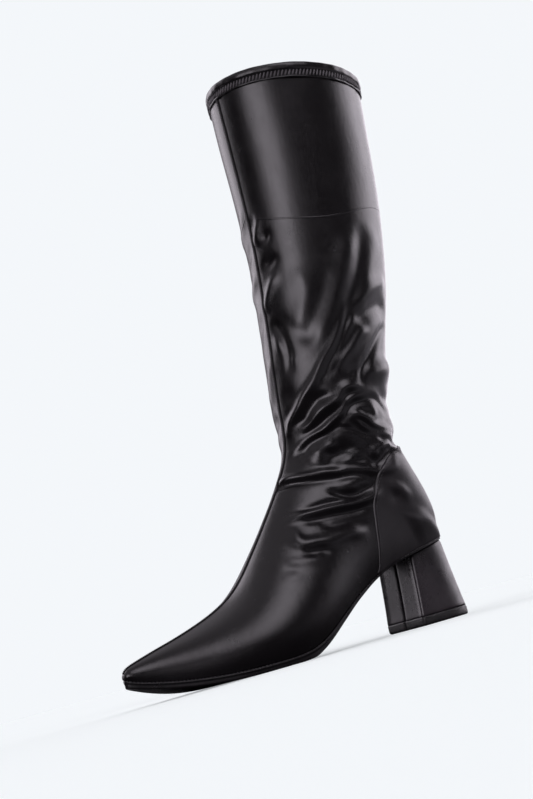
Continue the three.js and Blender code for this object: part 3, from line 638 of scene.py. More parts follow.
@dataclass
class Skin:
    """The upper's outer surface with its folds, as rings of points from the toe to the collar.

    creased holds the sections between which the rings stand closer together, with soft ends, and
    crowding is how much closer. A fold acts within fold_reach times its width. It fades out over
    run_out millimetres at each end, or over a share of its length. deepest and highest limit
    the sum of the folds in millimetres, and softening counts the passes that smooth it. The
    slack waves have their scales in waves per millimetre and their heights on foot and shaft.
    No fold reaches the last calm sections under the collar.
    """

    form: Form
    rings: int = 392
    half_points: int = 116
    toe_rings: int = 12
    creased: tuple[float, float, float, float] = (9.0, 11.5, 30.5, 32.5)
    crowding: float = 1.8
    fold_reach: float = 2.6
    run_out: float = 9.0
    shortest_fade: float = 0.22
    fade_at_seam: float = 0.1
    deepest: float = 3.3
    highest: float = 4.4
    softening: int = 3
    slack_scales: tuple[float, float, float] = (0.035, 0.035, 0.018)
    slack_start: float = 3.0
    slack_foot: float = 0.26
    slack_shaft: float = 0.56
    calm: tuple[float, float] = (0.75, 0.25)
    places: np.ndarray = field(init=False)
    girths: np.ndarray = field(init=False)
    points: np.ndarray = field(init=False)
    normals: np.ndarray = field(init=False)

    def __post_init__(self) -> None:
        """Builds the smooth rings and presses the folds into them."""
        self.places = self._even_places()
        self.girths = np.linspace(0, 1, self.half_points + 1)
        smooth = self.smooth_rings(0.0)
        normals = ring_normals(smooth)
        lift = self._fold_lift(smooth) + self._slack(smooth)
        top = self.form.place_at(self.form.shaft_length)
        calm = 1 - ease(self.places, *(top - below for below in self.calm))
        self.points = smooth + normals * (lift * calm[:, None])[..., None]
        self.normals = ring_normals(self.points)

    def _even_places(self) -> np.ndarray:
        """Section numbers that spread the rings evenly up the boot.

        Returns:
            The section numbers, rising from the toe.
        """
        top = self.form.place_at(self.form.shaft_length)
        fine = np.linspace(0, top, 1500)
        rows = self.form.blended(fine)
        front = np.linalg.norm(np.diff(rows[:, 2:4], axis=0), axis=1)
        back = np.linalg.norm(np.diff(rows[:, 0:2], axis=0), axis=1)
        creased = ease(fine, *self.creased[:2]) * (1 - ease(fine, *self.creased[2:]))
        steps = (0.6 * np.maximum(front, back) + 0.2 * (front + back)) * (1 + self.crowding * creased[1:])
        length = np.concatenate([[0], np.cumsum(steps)])
        places = np.interp(np.linspace(0, length[-1], self.rings), length, fine)
        return np.concatenate([np.linspace(0, places[6], self.toe_rings)[:-1], places[6:]])

    def smooth_rings(self, offset: float) -> np.ndarray:
        """Closed rings of the plain form, outer side first, then back along the inner side.

        Args:
            offset: distance out of the form.

        Returns:
            Array of rings by points by three.
        """
        outer = self.form.half_sections(self.places, Side.OUTER, self.girths, offset)
        inner = self.form.half_sections(self.places, Side.INNER, self.girths, offset)
        return np.concatenate([outer, inner[:, -2:0:-1]], 1)

    def _column(self, girth: Number, side: Side) -> np.ndarray:
        """Ring column of a share of the half girth on one side.

        Args:
            girth: shares of the half girth.
            side: which side of the boot.

        Returns:
            Column numbers, not rounded.
        """
        column = np.asarray(girth, float) * self.half_points
        whole = 2 * self.half_points
        return column if side is Side.OUTER else np.mod(whole - column, whole)

    def sample(self, grid: np.ndarray, place: Number, girth: Number, side: Side) -> np.ndarray:
        """Value of a grid over the rings at any place of the form.

        Args:
            grid: array of rings by ring points by three.
            place: section numbers.
            girth: shares of the half girth.
            side: which side of the boot.

        Returns:
            Array of samples by three.
        """
        ring = np.interp(place, self.places, np.arange(len(self.places)))
        column = self._column(girth, side)
        i = np.clip(ring.astype(int), 0, len(self.places) - 2)
        j = np.floor(column).astype(int)
        u, v = (ring - i)[..., None], (column - j)[..., None]
        size = grid.shape[1]
        j, k = j % size, (j + 1) % size
        low = grid[i, j] * (1 - v) + grid[i, k] * v
        high = grid[i + 1, j] * (1 - v) + grid[i + 1, k] * v
        return low * (1 - u) + high * u

    def at(self, place: Number, girth: Number, side: Side, lift: Number = 0.0) -> np.ndarray:
        """Points on the creased surface, lifted off it along its normal.

        Args:
            place: section numbers.
            girth: shares of the half girth.
            side: which side of the boot.
            lift: distance off the surface.

        Returns:
            Array of points by three.
        """
        place, girth = np.broadcast_arrays(np.asarray(place, float), np.asarray(girth, float))
        point = self.sample(self.points, place, girth, side)
        normal = unit(self.sample(self.normals, place, girth, side))
        return point + normal * np.asarray(lift, float)[..., None]

    def normal_at(self, place: Number, girth: Number, side: Side) -> np.ndarray:
        """Unit normals of the creased surface."""
        place, girth = np.broadcast_arrays(np.asarray(place, float), np.asarray(girth, float))
        return unit(self.sample(self.normals, place, girth, side))

    def _fold_lift(self, smooth: np.ndarray) -> np.ndarray:
        """How far the folds move each point out of the plain form.

        Args:
            smooth: rings of the plain form.

        Returns:
            Distance for each point of the rings.
        """
        flat = smooth.reshape(-1, 3)
        total = np.zeros(len(flat))
        outer_side = np.tile(np.arange(2 * self.half_points) <= self.half_points, len(smooth))
        for side, fold in ((side, fold) for side, folds in FOLDS.items() for fold in folds):
            line, length = self._fold_line(fold, side, smooth)
            reach = self.fold_reach * fold.width
            near = np.all((flat > line.min(0) - reach) & (flat < line.max(0) + reach), axis=1)
            starts_behind, ends_behind = fold.points[0][1] >= 1, fold.points[-1][1] >= 1
            if starts_behind or ends_behind:
                near &= outer_side if side is Side.OUTER else ~outer_side
            index = np.nonzero(near)[0]
            gap, share = distance_to_line(flat[index], line)
            run_out = min(max(self.run_out / length, self.shortest_fade), 0.5)
            fade = 1.0 if starts_behind else ease(share, -0.02, run_out)
            if not ends_behind:
                at_seam = fold.points[-1][1] < 0.03
                fade = fade * (1 - ease(share, 1 - (self.fade_at_seam if at_seam else run_out), 1.02))
            total[index] += fold.height * fade * np.exp(-((gap / fold.width) ** 2))
        limit = np.where(total < 0, self.deepest, self.highest)
        lift = (limit * np.tanh(total / limit)).reshape(smooth.shape[:2])
        for _ in range(self.softening):
            lift = (np.roll(lift, 1, 1) + 2 * lift + np.roll(lift, -1, 1)) / 4
            lift[1:-1] = (lift[:-2] + 2 * lift[1:-1] + lift[2:]) / 4
        return lift

    def _fold_line(self, fold: Fold, side: Side, smooth: np.ndarray) -> tuple[np.ndarray, float]:
        """The fold's line over the plain form, in steps of about 2 mm, and its length.

        Args:
            fold: the fold.
            side: which side of the boot it lies on.
            smooth: rings of the plain form.

        Returns:
            The line's points and its length.
        """
        guide = spline_through(np.array(fold.points, float), 60)
        line = self.sample(smooth, guide[:, 0], np.clip(guide[:, 1], 0, 1), side)
        length = np.linalg.norm(np.diff(line, axis=0), axis=1).sum()
        return resample(line[None], np.linspace(0, 1, max(int(length / 2.0), 8)))[0], length

    def _slack(self, smooth: np.ndarray) -> np.ndarray:
        """Faint uneven waves of slack leather, stronger on the shaft than on the lasted foot.

        Args:
            smooth: rings of the plain form.

        Returns:
            Distance for each point of the rings.
        """
        waves = np.empty(smooth.shape[:2])
        scaled = smooth * self.slack_scales + (0.0, 0.0, self.slack_start)
        for i, ring in enumerate(scaled):
            waves[i] = [noise.noise(Vector(point)) for point in ring]
        loose = ease(self.places, 11, 20)[:, None]
        return waves * (self.slack_foot + (self.slack_shaft - self.slack_foot) * loose)


def distance_to_line(points: np.ndarray, line: np.ndarray) -> tuple[np.ndarray, np.ndarray]:
    """Distance of points from a line of straight steps.

    Args:
        points: array of points.
        line: the line's corners.

    Returns:
        The distances, and how far along the line the nearest places are, from 0 to 1.
    """
    best = np.full(len(points), np.inf)
    share = np.zeros(len(points))
    steps = len(line) - 1
    for k, (start, end) in enumerate(zip(line[:-1], line[1:])):
        along = end - start
        t = np.clip((points - start) @ along / (along @ along + 1e-12), 0, 1)
        gap = np.linalg.norm(points - start - t[:, None] * along, axis=1)
        closer = gap < best
        best[closer] = gap[closer]
        share[closer] = (k + t[closer]) / steps
    return best, share


def ring_normals(rings: np.ndarray) -> np.ndarray:
    """Outward normals of a tube of closed rings.

    Args:
        rings: array of rings by points by three.

    Returns:
        Unit normals, one for each point.
    """
    along = np.gradient(rings, axis=0)
    around = np.roll(rings, -1, axis=1) - np.roll(rings, 1, axis=1)
    normals = unit(np.cross(around, along))
    centre = rings.mean(axis=1, keepdims=True)
    facing = np.sign(np.median(((rings - centre) * normals).sum(2)))
    return normals * facing


def tube_faces(rings: int, size: int, start: int = 0) -> np.ndarray:
    """Quads between rings of the same size, numbered from start.

    Args:
        rings: how many rings.
        size: points in each ring.
        start: number of the first point.

    Returns:
        Array of quads by four point numbers.
    """
    i = np.arange(rings - 1)[:, None] * size + start
    j = np.arange(size)[None, :]
    k = (j + 1) % size
    quads = np.stack([i + j, i + k, i + size + k, i + size + j], 2)
    return quads.reshape(-1, 4)


class Workshop:
    """Turns points in millimetres of the form into Blender meshes in the frame."""

    shift = Vector((-Form.heel_length / 2, 0.0, 0.0))

    @classmethod
    def mesh(
        cls, name: str, points: np.ndarray, faces: list, materials: list, slots: list | None = None
    ) -> bpy.types.Object:
        """Closed smooth mesh object with its place in its mesh.

        Args:
            name: the piece's name.
            points: array of points in millimetres.
            faces: lists of point numbers.
            materials: the piece's materials.
            slots: material number of each face, or None for the first.

        Returns:
            The new object.
        """
        moved = (np.asarray(points, float) + np.array(cls.shift)) * MM
        mesh = bpy.data.meshes.new(name)
        mesh.from_pydata(moved.tolist(), [], [list(map(int, face)) for face in faces])
        for material in materials:
            mesh.materials.append(material)
        if slots is not None:
            mesh.polygons.foreach_set("material_index", np.asarray(slots, np.int32))
        mesh.polygons.foreach_set("use_smooth", np.ones(len(mesh.polygons), bool))
        if signed_volume(mesh) < 0:
            mesh.flip_normals()
        mesh.update()
        piece = bpy.data.objects.new(name, mesh)
        bpy.context.scene.collection.objects.link(piece)
        return piece

    @classmethod
    def loft(
        cls, name: str, rings: np.ndarray, materials: list, closed: bool = False
    ) -> bpy.types.Object:
        """Solid through rings of points, capped at both ends or joined end to end.

        Args:
            name: the piece's name.
            rings: array of rings by points by three.
            materials: the piece's materials.
            closed: whether the last ring joins the first.

        Returns:
            The new object.
        """
        count, size = rings.shape[:2]
        points = rings.reshape(-1, 3)
        if closed:
            wrapped = tube_faces(count + 1, size) % (count * size)
            return cls.mesh(name, points, wrapped.tolist(), materials)
        faces = tube_faces(count, size).tolist()
        hubs = np.array([rings[0].mean(0), rings[-1].mean(0)])
        for hub, start in ((count * size, 0), (count * size + 1, (count - 1) * size)):
            for j in range(size):
                a, b = start + j, start + (j + 1) % size
                faces.append([hub, b, a] if start == 0 else [hub, a, b])
        return cls.mesh(name, np.vstack([points, hubs]), faces, materials)

    @staticmethod
    def fit(piece: bpy.types.Object, slot: str, *nodes: str) -> bpy.types.Object:
        """Rides the piece on the boot and hides the nodes that it stands for.

        Args:
            piece: the piece.
            slot: its slot; not used.
            nodes: names of the nodes it stands for.

        Returns:
            The same piece.
        """
        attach(piece, "root")
        if nodes:
            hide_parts(*nodes)
        LOG.info("%s: %d faces", piece.name, len(piece.data.polygons))
        return piece


def signed_volume(mesh: bpy.types.Mesh) -> float:
    """Volume inside a closed mesh, below zero where its faces point inwards.

    Args:
        mesh: the mesh.

    Returns:
        Its volume in cubic metres.
    """
    mesh.calc_loop_triangles()
    points = np.empty(len(mesh.vertices) * 3)
    mesh.vertices.foreach_get("co", points)
    corners = np.empty(len(mesh.loop_triangles) * 3, np.int32)
    mesh.loop_triangles.foreach_get("vertices", corners)
    a, b, c = points.reshape(-1, 3)[corners.reshape(-1, 3)].transpose(1, 0, 2)
    return float((a * np.cross(b, c)).sum() / 6)


class Nodes:
    """Short way to add and link nodes of a tree."""

    def __init__(self, tree: bpy.types.NodeTree) -> None:
        """Keeps the tree."""
        self.tree = tree

    def add(self, kind: str, **values: object) -> bpy.types.Node:
        """Adds a node. Keys are its properties or, with _ for a space, its inputs.

        Args:
            kind: the node's type.
            values: numbers, colours, texts and, to link them, sockets.

        Returns:
            The new node.
        """
        node = self.tree.nodes.new(kind)
        for key, value in values.items():
            if isinstance(value, Socket):
                self.link(value, node.inputs[key.replace("_", " ")])
            elif hasattr(node, key):
                setattr(node, key, value)
            else:
                node.inputs[key.replace("_", " ")].default_value = value
        return node

    def link(self, source: Socket, target: Socket) -> None:
        """Links two sockets."""
        self.tree.links.new(source, target)

    def math(self, operation: str, first: Socket, second: Socket | float) -> Socket:
        """One step of arithmetic on a socket and another socket or a number.

        Args:
            operation: which one.
            first: a socket.
            second: a socket or a number.

        Returns:
            Socket with the result.
        """
        node = self.add("ShaderNodeMath", operation=operation)
        self.link(first, node.inputs[0])
        if isinstance(second, float):
            node.inputs[1].default_value = second
        else:
            self.link(second, node.inputs[1])
        return node.outputs[0]

    def along(self, place: Socket, towards: Vector) -> Socket:
        """Dot product of a vector socket with a direction.

        Args:
            place: socket with the vector.
            towards: the direction.

        Returns:
            Socket with the product.
        """
        dot = self.add("ShaderNodeVectorMath", operation="DOT_PRODUCT")
        self.link(place, dot.inputs[0])
        dot.inputs[1].default_value = towards
        return dot.outputs["Value"]

    def noise(self, vector: Socket, scale: float, detail: float = 2.0, roughness: float = 0.5) -> Socket:
        """Noise factor at a scale given in features per metre."""
        grain = {"Scale": scale, "Detail": detail, "Roughness": roughness}
        return self.add("ShaderNodeTexNoise", Vector=vector, **grain).outputs["Fac"]

    def ramp(self, value: Socket, low: float, high: float, to_low: float, to_high: float) -> Socket:
        """Maps a value's range to another range, with soft ends.

        Args:
            value: socket with the value.
            low: start of its range.
            high: end of its range.
            to_low: result up to the start.
            to_high: result from the end on.

        Returns:
            Socket with the result.
        """
        ends = {"From_Min": low, "From_Max": high, "To_Min": to_low, "To_Max": to_high}
        node = self.add("ShaderNodeMapRange", interpolation_type="SMOOTHSTEP", Value=value, **ends)
        return node.outputs["Result"]

    def mix_colour(self, factor: Socket, first: tuple, second: tuple) -> Socket:
        """Blends two colours.

        Args:
            factor: socket with the second colour's share.
            first: the first colour.
            second: the second colour.

        Returns:
            Socket with the colour.
        """
        node = self.add("ShaderNodeMix", data_type="RGBA")
        node.inputs[6].default_value = (*first, 1.0)
        node.inputs[7].default_value = (*second, 1.0)
        self.link(factor, node.inputs[0])
        return node.outputs[2]

    def bump(self, height: Socket, strength: float, distance: float, **under: Socket) -> Socket:
        """Bump of a height field, with its depth in metres, over another bump if one is named."""
        node = self.add("ShaderNodeBump", Strength=strength, Distance=distance, Height=height, **under)
        return node.outputs["Normal"]

    def seen_or_lit(self, seen: Socket, lit: Socket, surface: Socket) -> None:
        """Shows the camera one shader and everything else, such as the boot's gloss, another.

        Args:
            seen: shader for the camera.
            lit: shader for everything else.
            surface: input of the output node.
        """
        path = self.add("ShaderNodeLightPath")
        blend = self.add("ShaderNodeMixShader")
        self.link(path.outputs["Is Camera Ray"], blend.inputs[0])
        self.link(lit, blend.inputs[1])
        self.link(seen, blend.inputs[2])
        self.link(blend.outputs[0], surface)


@dataclass(frozen=True)
class Finish:
    """A finish of the boot: colours, gloss and grain. Grain sizes are features per metre."""

    name: str
    dark: tuple[float, float, float]
    light: tuple[float, float, float]
    roughness: float
    uneven: float = 0.05
    grain: float = 1500.0
    grain_depth: float = 0.00005
    wrinkle_depth: float = 0.0
    specular: float = 0.5
    sheen: float = 0.0

    def material(self) -> bpy.types.Material:
        """Builds the finish as a material on Object coordinates.

        Returns:
            The new material.
        """
        material = bpy.data.materials.new(self.name)
        material.use_nodes = True
        nodes = Nodes(material.node_tree)
        shader = material.node_tree.nodes["Principled BSDF"]
        place = nodes.add("ShaderNodeTexCoord").outputs["Object"]
        cloud = nodes.noise(place, scale=28.0, detail=4.0, roughness=0.6)
        share = nodes.ramp(cloud, low=0.3, high=0.7, to_low=0.0, to_high=1.0)
        nodes.link(nodes.mix_colour(share, self.dark, self.light), shader.inputs["Base Color"])
        smudge = nodes.noise(place, scale=75.0, detail=5.0, roughness=0.65)
        least, most = self.roughness - self.uneven, self.roughness + self.uneven
        rough = nodes.ramp(smudge, low=0.3, high=0.75, to_low=least, to_high=most)
        nodes.link(rough, shader.inputs["Roughness"])
        shader.inputs["Specular IOR Level"].default_value = self.specular
        shader.inputs["Sheen Weight"].default_value = self.sheen
        nodes.link(self._relief(nodes, place), shader.inputs["Normal"])
        return material

    def _relief(self, nodes: Nodes, place: Socket) -> Socket:
        """Fine pores and, on leather, faint long wrinkles.

        Args:
            nodes: the material's nodes.
            place: socket with Object coordinates.

        Returns:
            Socket with the normal.
        """
        warp = nodes.math("MULTIPLY", nodes.noise(place, self.grain * 0.5), 0.4 / self.grain)
        moved = nodes.add("ShaderNodeVectorMath", operation="ADD")
        nodes.link(place, moved.inputs[0])
        nodes.link(warp, moved.inputs[1])
        cells = nodes.add(
            "ShaderNodeTexVoronoi", feature="DISTANCE_TO_EDGE", Scale=self.grain, Vector=moved.outputs[0]
        )
        pores = nodes.ramp(cells.outputs["Distance"], low=0.0, high=0.3, to_low=0.0, to_high=1.0)
        normal = nodes.bump(pores, strength=0.7, distance=self.grain_depth)
        if self.wrinkle_depth > 0:
            drawn = nodes.add("ShaderNodeMapping", Vector=place, Scale=(1.0, 1.0, 0.35))
            soft = nodes.noise(drawn.outputs["Vector"], scale=230.0, detail=6.0, roughness=0.66)
            normal = nodes.bump(soft, strength=0.6, distance=self.wrinkle_depth, Normal=normal)
        return normal


LEATHER = Finish(
    "black_leather", (0.0032, 0.0026, 0.0031), (0.005, 0.0041, 0.0049), 0.24, 0.04,
    grain=1400.0, grain_depth=0.00003, wrinkle_depth=0.0002,
)
# Painted light: the counter is the same black leather, painted lighter to stand in for the brighter light
# that falls on it.
COUNTER_LEATHER_PAINTED_LIGHTER = Finish(
    "counter_leather_painted_lighter", (0.0085, 0.0072, 0.0085), (0.0145, 0.0125, 0.0142), 0.4, 0.05,
    grain=1400.0, grain_depth=0.00003, wrinkle_depth=0.0001,
)
# Painted light: the heel's wrap is the same black leather, painted several times lighter to stand in for
# the brighter fill light on the heel; its cloud only varies the tone at random.
HEEL_WRAP_PAINTED_LIGHTER = Finish(
    "heel_wrap_painted_lighter", (0.009, 0.0075, 0.009), (0.036, 0.031, 0.035), 0.33, 0.09,
    grain=1400.0, grain_depth=0.00003, wrinkle_depth=0.00014,
)
SEAM_BINDING = Finish(
    "seam_binding", (0.0028, 0.0024, 0.0028), (0.0045, 0.004, 0.0045), 0.6, 0.08,
    grain=2600.0, grain_depth=0.00008, specular=0.25,
)
THREAD = Finish(
    "black_thread", (0.06, 0.054, 0.06), (0.105, 0.096, 0.105), 0.45, 0.06, grain=5200.0, sheen=0.2
)
FINE_THREAD = Finish(
    "fine_thread", (0.018, 0.016, 0.018), (0.034, 0.031, 0.034), 0.45, 0.06, grain=5200.0, sheen=0.1
)
LINING = Finish(
    "knit_lining", (0.018, 0.016, 0.017), (0.03, 0.027, 0.028), 0.85, 0.05,
    grain=2200.0, grain_depth=0.00012, sheen=0.3,
)
SOCK = Finish("insole_sock", (0.03, 0.026, 0.024), (0.045, 0.04, 0.037), 0.6, 0.06, grain=1300.0)
SOLE_RUBBER = Finish(
    "sole_rubber", (0.0065, 0.006, 0.0065), (0.011, 0.01, 0.011), 0.32, 0.07,
    grain=1900.0, grain_depth=0.00004,
)
LIFT_RUBBER = Finish(
    "lift_rubber", (0.004, 0.004, 0.0042), (0.009, 0.0085, 0.009), 0.4, 0.1,
    grain=1700.0, grain_depth=0.00008,
)


@dataclass
class StitchRow:
    """A row of stitches that follows a line on the boot, in millimetres and degrees."""

    name: str
    pitch: float
    length: float
    thickness: float
    slant: float = 0.0

    def lay(
        self, points: np.ndarray, normals: np.ndarray, thread: bpy.types.Material
    ) -> bpy.types.Object:
        """Lays the stitches along a line.

        Args:
            points: the line, in millimetres of the form.
            normals: the surface's normals along it.
            thread: the thread's material.

        Returns:
            The stitches as one plain mesh.
        """
        carrier = self._carrier(points, normals)
        modifier = carrier.modifiers.new("stitches", "NODES")
        modifier.node_group = self._tree(thread)
        sizes = {"Pitch": self.pitch, "Length": self.length, "Thickness": self.thickness}
        values = {name: size * MM for name, size in sizes.items()} | {"Slant": math.radians(self.slant)}
        for item in modifier.node_group.interface.items_tree:
            if item.in_out == "INPUT" and item.name in values:
                modifier[item.identifier] = values[item.name]
        depsgraph = bpy.context.evaluated_depsgraph_get()
        mesh = bpy.data.meshes.new_from_object(carrier.evaluated_get(depsgraph), depsgraph=depsgraph)
        carrier.modifiers.clear()
        bpy.data.objects.remove(carrier)
        mesh.name = self.name
        stitches = bpy.data.objects.new(self.name, mesh)
        bpy.context.scene.collection.objects.link(stitches)
        return stitches

    def _carrier(self, points: np.ndarray, normals: np.ndarray) -> bpy.types.Object:
        """Mesh line with the surface's normals as an attribute.

        Args:
            points: the line.
            normals: the surface's normals along it.

        Returns:
            Object with the line.
        """
        mesh = bpy.data.meshes.new(self.name + "_line")
        moved = (points + np.array(Workshop.shift)) * MM
        mesh.from_pydata(moved.tolist(), [(i, i + 1) for i in range(len(points) - 1)], [])
        attribute = mesh.attributes.new("outward", "FLOAT_VECTOR", "POINT")
        attribute.data.foreach_set("vector", np.asarray(normals, np.float32).ravel())
        carrier = bpy.data.objects.new(self.name + "_line", mesh)
        bpy.context.scene.collection.objects.link(carrier)
        return carrier

    def _tree(self, thread: bpy.types.Material) -> bpy.types.NodeTree:
        """Geometry nodes that set one stitch at every step of the line.

        Args:
            thread: the thread's material.

        Returns:
            The node tree, with its sizes as inputs.
        """
        tree = bpy.data.node_groups.new(self.name, "GeometryNodeTree")
        face = tree.interface
        face.new_socket("Geometry", in_out="INPUT", socket_type="NodeSocketGeometry")
        for name in ("Pitch", "Length", "Thickness", "Slant"):
            face.new_socket(name, in_out="INPUT", socket_type="NodeSocketFloat")
        face.new_socket("Geometry", in_out="OUTPUT", socket_type="NodeSocketGeometry")
        nodes = Nodes(tree)
        entry = nodes.add("NodeGroupInput").outputs
        curve = nodes.add("GeometryNodeMeshToCurve", Mesh=entry["Geometry"]).outputs["Curve"]
        steps = nodes.add("GeometryNodeResampleCurve", mode="LENGTH", Curve=curve, Length=entry["Pitch"])
        outward = nodes.add("GeometryNodeInputNamedAttribute", data_type="FLOAT_VECTOR", Name="outward")
        align = "FunctionNodeAlignRotationToVector"
        upright = nodes.add(align, axis="Z", Vector=outward.outputs["Attribute"]).outputs["Rotation"]
        tangent = nodes.add("GeometryNodeInputTangent").outputs["Tangent"]
        along = nodes.add(align, axis="X", pivot_axis="Z", Rotation=upright, Vector=tangent)
        turn = nodes.add(
            "FunctionNodeAxisAngleToRotation", Axis=(0.0, 0.0, 1.0), Angle=entry["Slant"]
        ).outputs["Rotation"]
        rotation = nodes.add(
            "FunctionNodeRotateRotation", rotation_space="LOCAL",
            Rotation=along.outputs["Rotation"], Rotate_By=turn,
        ).outputs["Rotation"]
        bead = nodes.add("GeometryNodeMeshUVSphere", Segments=8, Rings=6, Radius=0.5).outputs["Mesh"]
        thick = entry["Thickness"]
        size = nodes.add("ShaderNodeCombineXYZ", X=entry["Length"], Y=thick, Z=thick).outputs["Vector"]
        place = nodes.add(
            "GeometryNodeInstanceOnPoints",
            Points=steps.outputs["Curve"], Instance=bead, Rotation=rotation, Scale=size,
        )
        real = nodes.add("GeometryNodeRealizeInstances", Geometry=place.outputs["Instances"])
        smooth = nodes.add("GeometryNodeSetShadeSmooth", Geometry=real.outputs["Geometry"])
        dress = nodes.add("GeometryNodeSetMaterial", Geometry=smooth.outputs["Geometry"], Material=thread)
        nodes.add("NodeGroupOutput", Geometry=dress.outputs["Geometry"])
        return tree


@dataclass
class Upper:
    """The hollow leather upper with its counter, seams and collar hem.

    The lining has every inner_step-th ring and point of the skin. counter_roll is how far from
    its edge the counter reaches its full thickness, counter_edge its height at the edge,
    counter_sunk how deep its hidden side lies in the skin, and counter_girth half the way round
    it. The seams run hem_tuck under the hem, and the hem's stitches lie hem_dip below its top.
    """

    skin: Skin
    wall: float = 1.4
    inner_step: int = 4
    lining_end: float = 1.6
    seam_width: float = 2.6
    seam_height: float = 0.7
    counter_thickness: float = 0.8
    counter_roll: float = 1.3
    counter_sunk: float = 0.5
    counter_edge: float = 0.06
    counter_girth: float = 118.0
    counter_rows: int = 150
    counter_columns: int = 170
    stitch_inset: float = 1.9
    hem_height: float = 9.6
    hem_tuck: float = 1.5
    hem_dip: float = 6.9
    hem_points: int = 150
    hem_pucker: tuple[float, float] = (0.17, 0.26)
    hem_wave: float = 0.35
    yoke: tuple[tuple[float, float], ...] = (
        (31.93, 0.012), (31.67, 0.085), (31.42, 0.243), (31.36, 0.429), (31.8, 0.695), (31.9, 0.985),
    )

    def build(self) -> None:
        """Makes every piece of the upper."""
        leather, lining = LEATHER.material(), LINING.material()
        thread, binding = THREAD.material(), SEAM_BINDING.material()
        Workshop.fit(self._shell(leather, lining), "upper", "upper")
        Workshop.fit(self._counter(COUNTER_LEATHER_PAINTED_LIGHTER.material()), "counter", "heel_counter")
        Workshop.fit(self._front_seam(binding), "seam", "front_seam")
        Workshop.fit(self._hem(leather, binding), "band", "collar_band")
        Workshop.fit(self._back_seam(leather), "upper")
        for side in Side:
            Workshop.fit(self._yoke_line(side, leather), "upper")
        Workshop.fit(self._front_stitches(thread), "seam")
        Workshop.fit(self._hem_stitches(thread), "band")
        Workshop.fit(self._counter_stitches(FINE_THREAD.material()), "counter")

    def _shell(self, leather: bpy.types.Material, lining: bpy.types.Material) -> bpy.types.Object:
        """Outer skin and lining joined at the collar.

        Args:
            leather: the outside's material.
            lining: the inside's material.

        Returns:
            The new piece.
        """
        skin, step = self.skin, self.inner_step
        count, size = skin.points.shape[:2]
        first = int(np.searchsorted(skin.places, self.lining_end))
        rows = list(range(count - 1, first, -step))
        inner = (skin.points - skin.normals * self.wall)[rows][:, ::step]
        faces = tube_faces(count, size).tolist()
        outer_count = len(faces)
        start = count * size
        small = size // step
        last = (count - 1) * size
        for j in range(small):
            rim = [last + (j * step + k) % size for k in range(step + 1)]
            faces.append([*rim, start + (j + 1) % small, start + j])
        faces += tube_faces(len(rows), small, start).tolist()
        end = start + (len(rows) - 1) * small
        hubs = start + len(rows) * small
        for j in range(small):
            faces.append([hubs, end + j, end + (j + 1) % small])
        for j in range(size):
            faces.append([hubs + 1, (j + 1) % size, j])
        centres = [inner[-1].mean(0), skin.points[0].mean(0)]
        points = np.vstack([skin.points.reshape(-1, 3), inner.reshape(-1, 3), centres])
        slots = [0] * outer_count + [1] * (len(faces) - outer_count - size) + [0] * size
        return Workshop.mesh("boot_upper", points, faces, [leather, lining], slots)

    def _edge_girth(self, places: np.ndarray, side: Side) -> np.ndarray:
        """Share of the half girth at which each section crosses the counter's edge.

        Args:
            places: section numbers.
            side: which side of the boot.

        Returns:
            Shares of the half girth, 1 where the section lies clear of the counter.
        """
        form = self.skin.form
        share = np.array(COUNTER_EDGE)
        along = share[:, 0] * form.foot_length
        lowest = form.low_height(along)
        edge = np.column_stack([along, lowest + (form.ankle_height - lowest) * share[:, 1]])
        girths = np.linspace(0, 1, 300)
        sections = form.half_sections(places, side, girths)
        found = np.ones(len(places))
        for i, section in enumerate(sections):
            front = np.interp(section[:, 2], edge[:, 1], edge[:, 0])
            inside = (section[:, 0] < front) & (section[:, 2] < edge[-1, 1])
            if inside.any():
                found[i] = girths[inside.argmax()]
        return found

    def _counter(self, leather: bpy.types.Material) -> bpy.types.Object:
        """Overlay round the heel, a pillow of leather with a thin edge.

        Args:
            leather: the piece's material.

        Returns:
            The new piece.
        """
        skin, columns = self.skin, self.counter_columns
        places = np.linspace(*self._counter_span(), self.counter_rows)
        edges = {side: smoothed(self._edge_girth(places, side)) for side in Side}
        share = np.linspace(-1, 1, columns)
        parts = {Side.OUTER: share[share <= 0], Side.INNER: share[share > 0]}
        base, normal = np.empty((2, len(places), columns, 3))
        for k, place in enumerate(places):
            line = [(1 - (1 - edges[side][k]) * np.abs(part), side) for side, part in parts.items()]
            base[k] = np.vstack([skin.at(place, girth, side) for girth, side in line])
            normal[k] = np.vstack([skin.normal_at(place, girth, side) for girth, side in line])
        rise = np.clip(self._edge_distance(base) / self.counter_roll, 0, 1)
        round_edge = np.sqrt(np.clip(1 - (1 - rise) ** 2, 0, 1))
        lift = self.counter_edge + self.counter_thickness * round_edge
        under = base - normal * self.counter_sunk
        return self._patch("counter_patch", base + normal * lift[..., None], under, leather)

    def _counter_span(self) -> tuple[float, float]:
        """First and last section that the counter reaches.

        Returns:
            Two section numbers.
        """
        places = np.linspace(8, len(FOOT_SECTIONS) + 1, 300)
        inside = places[self._edge_girth(places, Side.OUTER) < 0.999]
        return float(inside[0]), float(inside[-1])

    @staticmethod
    def _edge_distance(grid: np.ndarray) -> np.ndarray:
        """Rough distance of each point of a patch from its nearest border.

        Args:
            grid: array of rows by columns by three.

        Returns:
            Distance for each point.
        """
        left = np.linalg.norm(grid - grid[:, :1], axis=2)
        right = np.linalg.norm(grid - grid[:, -1:], axis=2)
        first = np.linalg.norm(grid - grid[:1], axis=2)
        last = np.linalg.norm(grid - grid[-1:], axis=2)
        return np.minimum.reduce([left, right, first, last])

